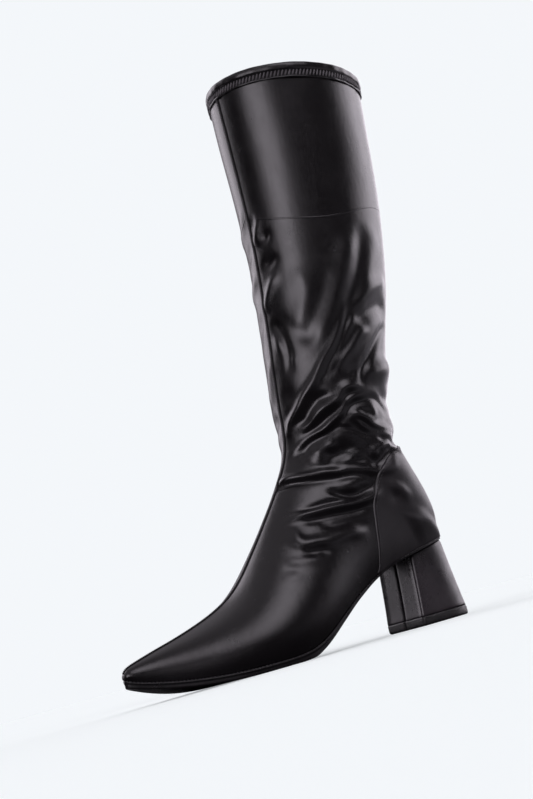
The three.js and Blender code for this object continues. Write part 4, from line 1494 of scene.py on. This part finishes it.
    @staticmethod
    def _patch(
        name: str, top: np.ndarray, under: np.ndarray, material: bpy.types.Material
    ) -> bpy.types.Object:
        """Closed thin solid between two grids of the same size.

        Args:
            name: the piece's name.
            top: the upper grid's points.
            under: the lower grid's points.
            material: the piece's material.

        Returns:
            The new piece.
        """
        rows, columns = top.shape[:2]
        count = rows * columns
        number = np.arange(count).reshape(rows, columns)
        corners = [number[:-1, :-1], number[:-1, 1:], number[1:, 1:], number[1:, :-1]]
        quads = np.stack(corners, 2).reshape(-1, 4)
        faces = quads.tolist() + (quads[:, ::-1] + count).tolist()
        border = [*number[0], *number[1:, -1], *number[-1, -2::-1], *number[-2:0:-1, 0]]
        for k, a in enumerate(border):
            b = border[(k + 1) % len(border)]
            faces.append([b, a, a + count, b + count])
        points = np.vstack([top.reshape(-1, 3), under.reshape(-1, 3)])
        return Workshop.mesh(name, points, faces, [material])

    def _strip(
        self, name: str, places: np.ndarray, girths: Number, profile: tuple,
        material: bpy.types.Material, side: Side = Side.OUTER,
    ) -> bpy.types.Object:
        """Solid strip along a line of the skin.

        Args:
            name: the piece's name.
            places: section numbers along the strip.
            girths: shares of the half girth that it follows, one or one for each place.
            profile: closed section as (across, lift) pairs in millimetres.
            material: its material.
            side: which side of the boot it lies on.

        Returns:
            The new object.
        """
        line = self.skin.at(places, girths, side)
        normal = self.skin.normal_at(places, girths, side)
        along = unit(np.gradient(line, axis=0))
        across = unit(np.cross(normal, along))
        width = self._taper(places)[:, None]
        sunk = 0.35 * (1 - width)
        rings = [line + across * (reach * width) + normal * (lift - sunk) for reach, lift in profile]
        return Workshop.loft(name, np.stack(rings, 1), [material])

    @staticmethod
    def _taper(places: np.ndarray) -> np.ndarray:
        """Narrowing of the seam over the first sections of the toe."""
        return 0.35 + 0.65 * ease(places, 0.0, 3.5)

    def _front_places(self) -> np.ndarray:
        """Section numbers from the toe to the hem."""
        return np.linspace(0.35, self._under_hem(), 620)

    def _under_hem(self) -> float:
        """Section number at which the seams end under the hem."""
        form = self.skin.form
        return form.place_at(form.shaft_length - self.hem_height + self.hem_tuck)

    def _front_seam(self, material: bpy.types.Material) -> bpy.types.Object:
        """Raised binding down the front, from the collar to the toe.

        Args:
            material: the piece's material.

        Returns:
            The new piece.
        """
        half, high = self.seam_width / 2, self.seam_height
        profile = (
            (-half, -0.5), (half, -0.5), (half, 0.1), (half * 0.93, high * 0.7), (half * 0.6, high),
            (0.0, high * 1.06), (-half * 0.6, high), (-half * 0.93, high * 0.7), (-half, 0.1),
        )
        return self._strip("front_seam_strip", self._front_places(), 0.0, profile, material)

    def _front_stitches(self, thread: bpy.types.Material) -> bpy.types.Object:
        """Slanted stitches across the front binding.

        Args:
            thread: the thread's material.

        Returns:
            The new piece.
        """
        places = self._front_places()[4:]
        points = self.skin.at(places, 0.0, Side.OUTER, self.seam_height + 0.02)
        row = StitchRow("front_seam_stitches", pitch=1.25, length=2.5, thickness=0.5, slant=62.0)
        return row.lay(points, self.skin.normal_at(places, 0.0, Side.OUTER), thread)

    def _back_seam(self, leather: bpy.types.Material) -> bpy.types.Object:
        """Flat closed seam up the back of the shaft, two rolled edges with a groove between.

        Args:
            leather: the piece's material.

        Returns:
            The new piece.
        """
        places = np.linspace(self._counter_span()[1] - 0.15, self._under_hem(), 260)
        profile = (
            (-2.3, -0.5), (2.3, -0.5), (2.3, 0.0), (1.6, 0.3), (0.7, 0.42), (0.2, 0.3), (0.0, -0.05),
            (-0.2, 0.3), (-0.7, 0.42), (-1.6, 0.3), (-2.3, 0.0),
        )
        return self._strip("back_seam_strip", places, 1.0, profile, leather)

    def _yoke_line(self, side: Side, leather: bpy.types.Material) -> bpy.types.Object:
        """Faint line round the shaft, where a facing ends inside.

        Args:
            side: which side of the boot.
            leather: the piece's material.

        Returns:
            The new piece.
        """
        guide = spline_through(np.array(self.yoke), 240)
        profile = ((-0.7, -0.4), (0.7, -0.4), (0.7, -0.02), (0.3, 0.07), (-0.3, 0.07), (-0.7, -0.02))
        name = "yoke_line_" + side.name.lower()
        return self._strip(name, guide[:, 0], guide[:, 1], profile, leather, side)

    def _hem(self, leather: bpy.types.Material, binding: bpy.types.Material) -> bpy.types.Object:
        """Folded hem round the collar: a smooth roll, a stitched dip and a free lower edge.

        Args:
            leather: the hem's material.
            binding: the material of its dip.

        Returns:
            The new piece.
        """
        form = self.skin.form
        length = form.shaft_length
        profile = (
            (-9.7, 0.1), (-10.2, 0.4), (-10.3, 0.8), (-9.9, 1.05), (-9.2, 0.9), (-8.2, 0.4), (-6.6, 0.3),
            (-5.2, 0.4), (-4.4, 0.95), (-3.9, 1.3), (-3.2, 1.45), (-2.0, 1.45), (-0.9, 1.35), (0.1, 1.05),
            (0.7, 0.5), (0.95, -0.3), (0.8, -1.2), (0.2, -1.9), (-1.0, -2.25), (-3.0, -2.3), (-6.0, -2.2),
            (-9.0, -2.15), (-9.6, -1.9), (-9.7, -0.9),
        )
        half = self.hem_points
        around = np.arange(2 * half)
        short, long = self.hem_pucker
        pucker = short * np.sin(around * 0.61 + 1.3 * np.sin(around * 0.07))
        pucker += long * np.sin(around * 0.21 + 2.0)
        rings = []
        for up, offset in profile:
            ring = self._round_shaft(length + up, half + 1, offset)
            centre = ring.mean(0)
            amount = pucker * (1.0 if offset > 0.2 else 0.3) * (0.5 + 0.5 * ease(-up, 0.0, 3.0))
            wave = self.hem_wave * np.sin(around * 0.043 + 1.0) * ease(-up, 5.0, 9.0)
            ring = ring + unit(ring - centre) * amount[:, None]
            rings.append(ring + np.array([0.0, 0.0, 1.0]) * wave[:, None])
        hem = Workshop.loft("collar_hem", np.array(rings), [leather, binding], closed=True)
        dip = [4 <= index // (2 * half) <= 7 for index in range(len(hem.data.polygons))]
        hem.data.polygons.foreach_set("material_index", np.array(dip, np.int32))
        return hem

    def _round_shaft(self, up: float, count: int, offset: float) -> np.ndarray:
        """Points once round the plain shaft, up millimetres above the ankle and offset out of it.

        Args:
            up: distance up the shaft's axis.
            count: points on each side.
            offset: distance out of the form.

        Returns:
            Array of points by three, on a closed line.
        """
        form = self.skin.form
        place, girths = np.array([form.place_at(up)]), np.linspace(0, 1, count)
        outer, inner = (form.half_sections(place, side, girths, offset)[0] for side in Side)
        return np.vstack([outer, inner[-2:0:-1]])

    def _hem_stitches(self, thread: bpy.types.Material) -> bpy.types.Object:
        """Slanted cover stitches round the hem's dip.

        Args:
            thread: the thread's material.

        Returns:
            The new piece.
        """
        form = self.skin.form
        line = self._round_shaft(form.shaft_length - self.hem_dip, 200, 0.62)
        line = np.vstack([line, line[:1]])
        lean = math.radians(form.shaft_lean)
        axis = np.array([-math.sin(lean), 0.0, math.cos(lean)])
        radial = line - line.mean(0)
        radial = unit(radial - (radial @ axis)[:, None] * axis)
        row = StitchRow("hem_stitches", pitch=2.5, length=5.4, thickness=1.25, slant=72.0)
        return row.lay(line, radial, thread)

    def _counter_stitches(self, thread: bpy.types.Material) -> bpy.types.Object:
        """One row of stitches just inside the counter's edge, round both sides.

        Args:
            thread: the thread's material.

        Returns:
            The new piece.
        """
        low, high = self._counter_span()
        places = np.linspace(low + 0.25, high - 0.12, 150)
        lines, normals = [], []
        for side, step in ((Side.OUTER, 1), (Side.INNER, -1)):
            edge = smoothed(self._edge_girth(places, side))
            girth = np.clip(edge + self.stitch_inset / self.counter_girth, 0, 1)
            lines.append(self.skin.at(places, girth, side, self.counter_thickness + 0.1)[::step])
            normals.append(self.skin.normal_at(places, girth, side)[::step])
        row = StitchRow("counter_stitches", pitch=2.4, length=1.8, thickness=0.5)
        return row.lay(np.vstack(lines), np.vstack(normals), thread)


def smoothed(values: np.ndarray, passes: int = 6) -> np.ndarray:
    """Values averaged with their neighbours a few times.

    Args:
        values: values in a row.
        passes: how often.

    Returns:
        As many values.
    """
    for _ in range(passes):
        padded = np.concatenate([values[:1], values, values[-1:]])
        values = (padded[:-2] + 2 * padded[1:-1] + padded[2:]) / 4
    return values


@dataclass
class Sole:
    """Outsole and insole, through sections across the sole's outline."""

    form: Form
    clearance: float = 0.3
    margin: float = 3.6
    margin_height: float = 2.2
    ridge: float = 0.7
    ridge_height: float = 1.2
    stations: int = 170

    def build(self) -> None:
        """Makes the outsole and the insole's sock."""
        Workshop.fit(self._outsole(SOLE_RUBBER.material()), "outsole", "outsole")
        Workshop.fit(self._sock(SOCK.material()), "insole", "insole")
        Workshop.fit(self._edge_stitches(FINE_THREAD.material()), "seam")

    def _stations(self) -> np.ndarray:
        """Positions along the foot, closer together at the round ends.

        Returns:
            Positions in millimetres.
        """
        back = SOLE_OUTLINE[0][0] * self.form.foot_length
        share = (1 - np.cos(np.linspace(0, np.pi, self.stations))) / 2
        return back + (self.form.foot_length - back) * share

    def _slab(
        self, name: str, grow: float, profile_at: Callable[[float], list[tuple[float, float]]],
        material: bpy.types.Material,
    ) -> bpy.types.Object:
        """Solid over the outline, from half sections of (inset, height) pairs.

        Args:
            name: the piece's name.
            grow: how far the outline is moved out, or in where negative.
            profile_at: gives the half section at x, from the top down.
            material: its material.

        Returns:
            The new object.
        """
        form = self.form
        stations = self._stations()
        back = stations[0]
        rings = []
        for station in stations:
            share = (station - back) / (form.foot_length - back)
            x = back - grow + (form.foot_length + 2 * grow - back) * share
            middle, half = (float(v) for v in form.outline(station))
            spread = grow * math.sin(math.pi * share) ** 0.3 if grow > 0 else grow
            reach = half + spread
            if reach < 0.05:
                if grow < 0:
                    continue
                reach = 0.05
            half_section = [(max(reach - inset, reach * 0.4), height) for inset, height in profile_at(x)]
            left = [(x, middle + across, height) for across, height in half_section]
            right = [(x, middle - across, height) for across, height in reversed(half_section)]
            rings.append(left + right)
        return Workshop.loft(name, np.array(rings), [material])

    def _outsole(self, rubber: bpy.types.Material) -> bpy.types.Object:
        """Thin sole with a glossy ridge along its top edge and a rounded lower edge.

        Args:
            rubber: the piece's material.

        Returns:
            The new piece.
        """
        ridge = self.ridge

        def profile(x: float) -> list[tuple[float, float]]:
            """Half section at x, from the top down.

            Args:
                x: position along the foot.

            Returns:
                Pairs of the inset from the outline and the height.
            """
            high = float(self.form.low_height(x)) - self.clearance
            low = min(float(self.form.sole_bottom(x)), high - 0.9)
            depth = high - low
            rim = min(self.ridge_height, depth * 0.36)
            edge = min(0.9, depth * 0.3)
            return [
                (6.0, high), (0.4, high), (-ridge * 0.8, high - rim * 0.15), (-ridge, high - rim * 0.45),
                (-ridge * 0.7, high - rim * 0.85), (0.15, high - rim), (0.1, high - rim - 0.25 * depth),
                (0.15, low + edge), (edge * 0.35, low + edge * 0.35), (edge, low), (4.0, low), (9.0, low),
            ]

        return self._slab("sole", 0.0, profile, rubber)

    def _edge_stitches(self, thread: bpy.types.Material) -> bpy.types.Object:
        """Small stitches round the sole's edge, just under the upper.

        Args:
            thread: the thread's material.

        Returns:
            The new piece.
        """
        count, start = 400, 0.06
        back = SOLE_OUTLINE[0][0] * self.form.foot_length
        share = (1 - np.cos(np.linspace(start, np.pi - start, count))) / 2
        x = back + (self.form.foot_length - back) * share
        middle, half = self.form.outline(x)
        high = self.form.low_height(x) - self.clearance + 0.15
        outer = np.column_stack([x, middle + half + self.ridge * 0.6, high])
        inner = np.column_stack([x, middle - half - self.ridge * 0.6, high])[::-1]
        line = np.vstack([outer, inner])
        along = unit(np.gradient(line, axis=0))
        outward = unit(np.column_stack([along[:, 1], -along[:, 0], np.zeros(len(line))]))
        outward *= np.sign(np.median(outward[:count, 1]))
        row = StitchRow("sole_edge_stitches", pitch=2.3, length=1.7, thickness=0.5)
        return row.lay(line, outward, thread)

    def _sock(self, cloth: bpy.types.Material) -> bpy.types.Object:
        """Insole with a soft crown, inside the lasting margin.

        Args:
            cloth: the piece's material.

        Returns:
            The new piece.
        """
        section = ((9.0, 2.0), (3.0, 1.9), (0.6, 1.5), (0.0, 1.0), (0.0, 0.2), (0.6, 0.0))

        def profile(x: float) -> list[tuple[float, float]]:
            """Half section at x, over the upper's lasting margin."""
            base = float(self.form.low_height(x)) + self.margin_height
            return [(inset, base + height) for inset, height in section]

        return self._slab("insole_sock", -self.margin, profile, cloth)


@dataclass
class Heel:
    """The wrapped block heel and its rubber lift. Sizes are in millimetres."""

    form: Form
    width: float = 45.0
    back_rake: float = 5.5
    breast_rake: float = 5.0
    side_rake: float = 1.0
    corner: float = 2.2
    roundness: float = 2.25
    panel_depth: float = 0.5
    groove_width: float = 1.5
    groove_depth: float = 0.8
    lift: float = 6.0
    clearance: float = 0.3
    levels: int = 40

    def build(self) -> None:
        """Makes the block and the lift."""
        Workshop.fit(self._block(HEEL_WRAP_PAINTED_LIGHTER.material()), "heel", "heel")
        Workshop.fit(self._top_lift(LIFT_RUBBER.material()), "top_lift", "top_lift")

    def outline(self, share: float, grow: float = 0.0, panel: float = 0.0) -> np.ndarray:
        """Closed outline of the block at one height.

        Args:
            share: height as a share of the block, 0 at the lift.
            grow: how far the outline is moved out.
            panel: how far the breast's panel is sunk between its corners.

        Returns:
            Array of points by two.
        """
        back = share * self.back_rake - grow
        breast = self.form.heel_length - share * self.breast_rake + grow
        half = self.width / 2 - share * self.side_rake + grow
        angle = np.linspace(0, np.pi, 61) + np.pi / 2
        bulge = 2 / self.roundness
        x = back + half - half * np.abs(np.cos(angle)) ** bulge
        y = half * np.sign(np.sin(angle)) * np.abs(np.sin(angle)) ** bulge
        rear = np.stack([x, y], 1)
        straight = np.linspace(back + half, breast - self.corner, 8)[1:-1]
        turn = np.linspace(0, np.pi / 2, 9)
        corner_x = breast - self.corner * (1 - np.sin(turn))
        corner_y = half - self.corner * (1 - np.cos(turn))
        inner = np.linspace(half - self.corner - 0.5, self.groove_width, 10)
        face_x = breast - panel * ease(half - self.corner - inner, 0.3, 1.1)
        groove_y = np.array([0.7, 0.35]) * self.groove_width
        groove_x = breast - panel - self.groove_depth * np.array([0.15, 0.85])
        near = np.concatenate([
            np.stack([straight, np.full(6, half)], 1), np.stack([corner_x, corner_y], 1),
            np.stack([face_x, inner], 1), np.stack([groove_x, groove_y], 1),
        ])
        middle = np.array([[breast - panel - self.groove_depth, 0.0]])
        lower = near * (1, -1)
        return np.vstack([rear, lower, middle, near[::-1]])

    def _block(self, wrap: bpy.types.Material) -> bpy.types.Object:
        """Flared block whose top follows the seat.

        Args:
            wrap: the piece's material.

        Returns:
            The new piece.
        """
        low = self.lift + 0.02
        rings = []
        for level in range(self.levels + 1):
            share = level / self.levels
            drawn = 0.25 * math.exp(-share * 90) + 0.5 * math.exp(-(1 - share) * 60)
            outline = self.outline(share**0.85, -drawn, self.panel_depth)
            roof = self.form.sole_bottom(outline[:, 0]) - self.clearance
            rings.append(np.column_stack([outline, low + (roof - low) * share]))
        return Workshop.loft("heel_block", np.array(rings), [wrap])

    def _top_lift(self, rubber: bpy.types.Material) -> bpy.types.Object:
        """Rubber lift with softened edges.

        Args:
            rubber: the piece's material.

        Returns:
            The new piece.
        """
        section = (
            (0.0, -1.2), (0.25, -0.5), (0.8, -0.1), (1.6, 0.05), (5.2, 0.05), (5.75, -0.05), (6.0, -0.4),
        )
        rings = []
        for height, grow in section:
            outline = self.outline(0.0, grow)
            rings.append(np.column_stack([outline, np.full(len(outline), height)]))
        return Workshop.loft("lift", np.array(rings), [rubber])


@dataclass(frozen=True)
class Patch:
    """A soft bright patch round one direction of the studio, in degrees as the boot sees it.

    turn is to the right of the camera and height upwards in the picture. The patch begins at the
    half angle outer, and is full, at its level, within the half angle inner.
    """

    turn: float
    height: float
    outer: float
    inner: float
    level: float


PATCHES = (
    Patch(-39.0, 14.0, 25.0, 7.0, 3.6),
    Patch(-18.0, 2.0, 36.0, 8.0, 0.85),
    Patch(12.0, 64.0, 28.0, 8.0, 2.9),
    Patch(114.0, 18.0, 29.0, 8.0, 1.8),
    Patch(142.0, 8.0, 50.0, 28.0, 1.75),
    Patch(-110.0, 50.0, 50.0, 10.0, 0.35),
    Patch(-172.0, 24.0, 44.0, 18.0, 0.3),
    Patch(-62.0, 36.0, 42.0, 8.0, 0.18),
    Patch(62.0, 28.0, 36.0, 8.0, 0.1),
    Patch(-132.0, 8.0, 28.0, 6.0, 2.4),
)


@dataclass
class Studio:
    """Pale floor, soft light and the camera at the photograph's angle. Lengths are in metres."""

    eye: tuple[float, float, float] = (0.6398, 0.9031, 0.014)
    azimuth: float = 147.25
    elevation: float = -8.44
    roll: float = -15.8
    shift: tuple[float, float] = (-0.0318, -0.0113)
    focal_pixels: float = 1626.0
    picture: tuple[int, int] = (533, 799)
    floor_reach: float = 30.0
    floor_colour: tuple[float, float, float, float] = (0.665, 0.732, 0.691, 1.0)
    floor_glow: tuple[float, float, float, float] = (0.318, 0.327, 0.338, 1.0)
    dim_floor: tuple[float, float, float] = (0.062, 0.062, 0.064)
    bright_floor: tuple[float, float, float] = (0.62, 0.62, 0.64)
    light_colour: tuple[float, float, float, float] = (0.98, 0.915, 1.0, 1.0)
    dim_light: float = 0.012
    backdrop: tuple[float, float, float, float] = (0.905, 0.93, 0.96, 1.0)

    def build(self) -> None:
        """Adds the floor, the world and the camera."""
        self._floor()
        self._world()
        self._camera()

    def axes(self) -> tuple[Vector, Vector, Vector]:
        """The camera's right, up and backward directions.

        Returns:
            Three unit vectors.
        """
        azimuth, elevation, roll = (math.radians(v) for v in (self.azimuth, self.elevation, self.roll))
        level = Vector((math.cos(azimuth), math.sin(azimuth), 0.0))
        away = Vector((math.sin(azimuth), -math.cos(azimuth), 0.0))
        back = away * math.cos(elevation) + Vector((0.0, 0.0, math.sin(elevation)))
        right = math.cos(roll) * level + math.sin(roll) * back.cross(level)
        return right, back.cross(right), back

    def _floor(self) -> None:
        """A wide flat floor under the boot."""
        mesh = bpy.data.meshes.new("floor")
        reach = self.floor_reach
        corners = [(-reach, -reach, 0), (reach, -reach, 0), (reach, reach, 0), (-reach, reach, 0)]
        mesh.from_pydata(corners, [], [(0, 1, 2, 3)])
        mesh.materials.append(self._floor_paint())
        floor = bpy.data.objects.new("floor", mesh)
        bpy.context.scene.collection.objects.link(floor)

    def _floor_paint(self) -> bpy.types.Material:
        """White, a little lit from within. The boot's gloss sees it dim on the camera's side.

        Returns:
            The new material.
        """
        material = bpy.data.materials.new("floor_paint")
        material.use_nodes = True
        nodes = Nodes(material.node_tree)
        shader = material.node_tree.nodes["Principled BSDF"]
        shader.inputs["Base Color"].default_value = self.floor_colour
        shader.inputs["Roughness"].default_value = 0.9
        shader.inputs["Specular IOR Level"].default_value = 0.0
        glow = nodes.add("ShaderNodeEmission", Color=self.floor_glow, Strength=1.0)
        seen = nodes.add("ShaderNodeAddShader")
        nodes.link(shader.outputs[0], seen.inputs[0])
        nodes.link(glow.outputs[0], seen.inputs[1])
        place = nodes.add("ShaderNodeTexCoord").outputs["Object"]
        right, _, back = self.axes()
        behind = nodes.ramp(nodes.along(place, -back), low=-0.05, high=0.55, to_low=0.0, to_high=1.0)
        beside = nodes.ramp(nodes.along(place, right), low=0.06, high=0.4, to_low=0.0, to_high=0.62)
        lit = nodes.math("MAXIMUM", behind, beside)
        colour = nodes.mix_colour(lit, self.dim_floor, self.bright_floor)
        mirrored = nodes.add("ShaderNodeBsdfDiffuse", Color=colour)
        surface = material.node_tree.nodes["Material Output"].inputs["Surface"]
        nodes.seen_or_lit(seen.outputs[0], mirrored.outputs[0], surface)
        return material

    def _world(self) -> None:
        """Soft patches of light round the boot, and a plain pale backdrop for the camera."""
        world = bpy.data.worlds.new("studio")
        bpy.context.scene.world = world
        world.use_nodes = True
        nodes = Nodes(world.node_tree)
        direction = nodes.add("ShaderNodeTexCoord").outputs["Generated"]
        total = self._glow(nodes, direction, PATCHES[0])
        for patch in PATCHES[1:]:
            total = nodes.math("ADD", total, self._glow(nodes, direction, patch))
        lit = world.node_tree.nodes["Background"]
        nodes.link(nodes.math("ADD", total, self.dim_light), lit.inputs["Strength"])
        lit.inputs["Color"].default_value = self.light_colour
        seen = nodes.add("ShaderNodeBackground", Color=self.backdrop, Strength=1.0)
        surface = world.node_tree.nodes["World Output"].inputs["Surface"]
        nodes.seen_or_lit(seen.outputs[0], lit.outputs[0], surface)

    def _glow(self, nodes: Nodes, direction: Socket, patch: Patch) -> Socket:
        """Brightness of one patch in the direction looked in.

        Args:
            nodes: the world's nodes.
            direction: socket with the direction.
            patch: the patch.

        Returns:
            Socket with the brightness.
        """
        right, up, back = self.axes()
        turn, rise = math.radians(patch.turn), math.radians(patch.height)
        level = right * math.sin(turn) + back * math.cos(turn)
        towards = level * math.cos(rise) + up * math.sin(rise)
        near, far = math.cos(math.radians(patch.outer)), math.cos(math.radians(patch.inner))
        return nodes.ramp(nodes.along(direction, towards), near, far, 0.0, patch.level)

    def _camera(self) -> None:
        """Camera with the photograph's direction, rolled part of the way to the standing shaft."""
        right, up, back = self.axes()
        data = bpy.data.cameras.new("camera")
        data.sensor_width = 36.0
        data.lens = 36.0 * self.focal_pixels / max(self.picture)
        data.clip_start = 0.01
        data.clip_end = 100.0
        data.shift_x, data.shift_y = self.shift
        camera = bpy.data.objects.new("camera", data)
        turn = Matrix((right, up, back)).transposed().to_4x4()
        camera.matrix_world = Matrix.Translation(self.eye) @ turn
        bpy.context.scene.collection.objects.link(camera)
        bpy.context.scene.camera = camera


def main() -> None:
    """Builds the boot and the studio."""
    bpy.context.scene.view_settings.view_transform = "Standard"
    form = Form()
    skin = Skin(form)
    LOG.info("skin: %d rings of %d points", *skin.points.shape[:2])
    Upper(skin).build()
    Sole(form).build()
    Heel(form).build()
    Studio().build()


if __name__ == "__main__":
    main()
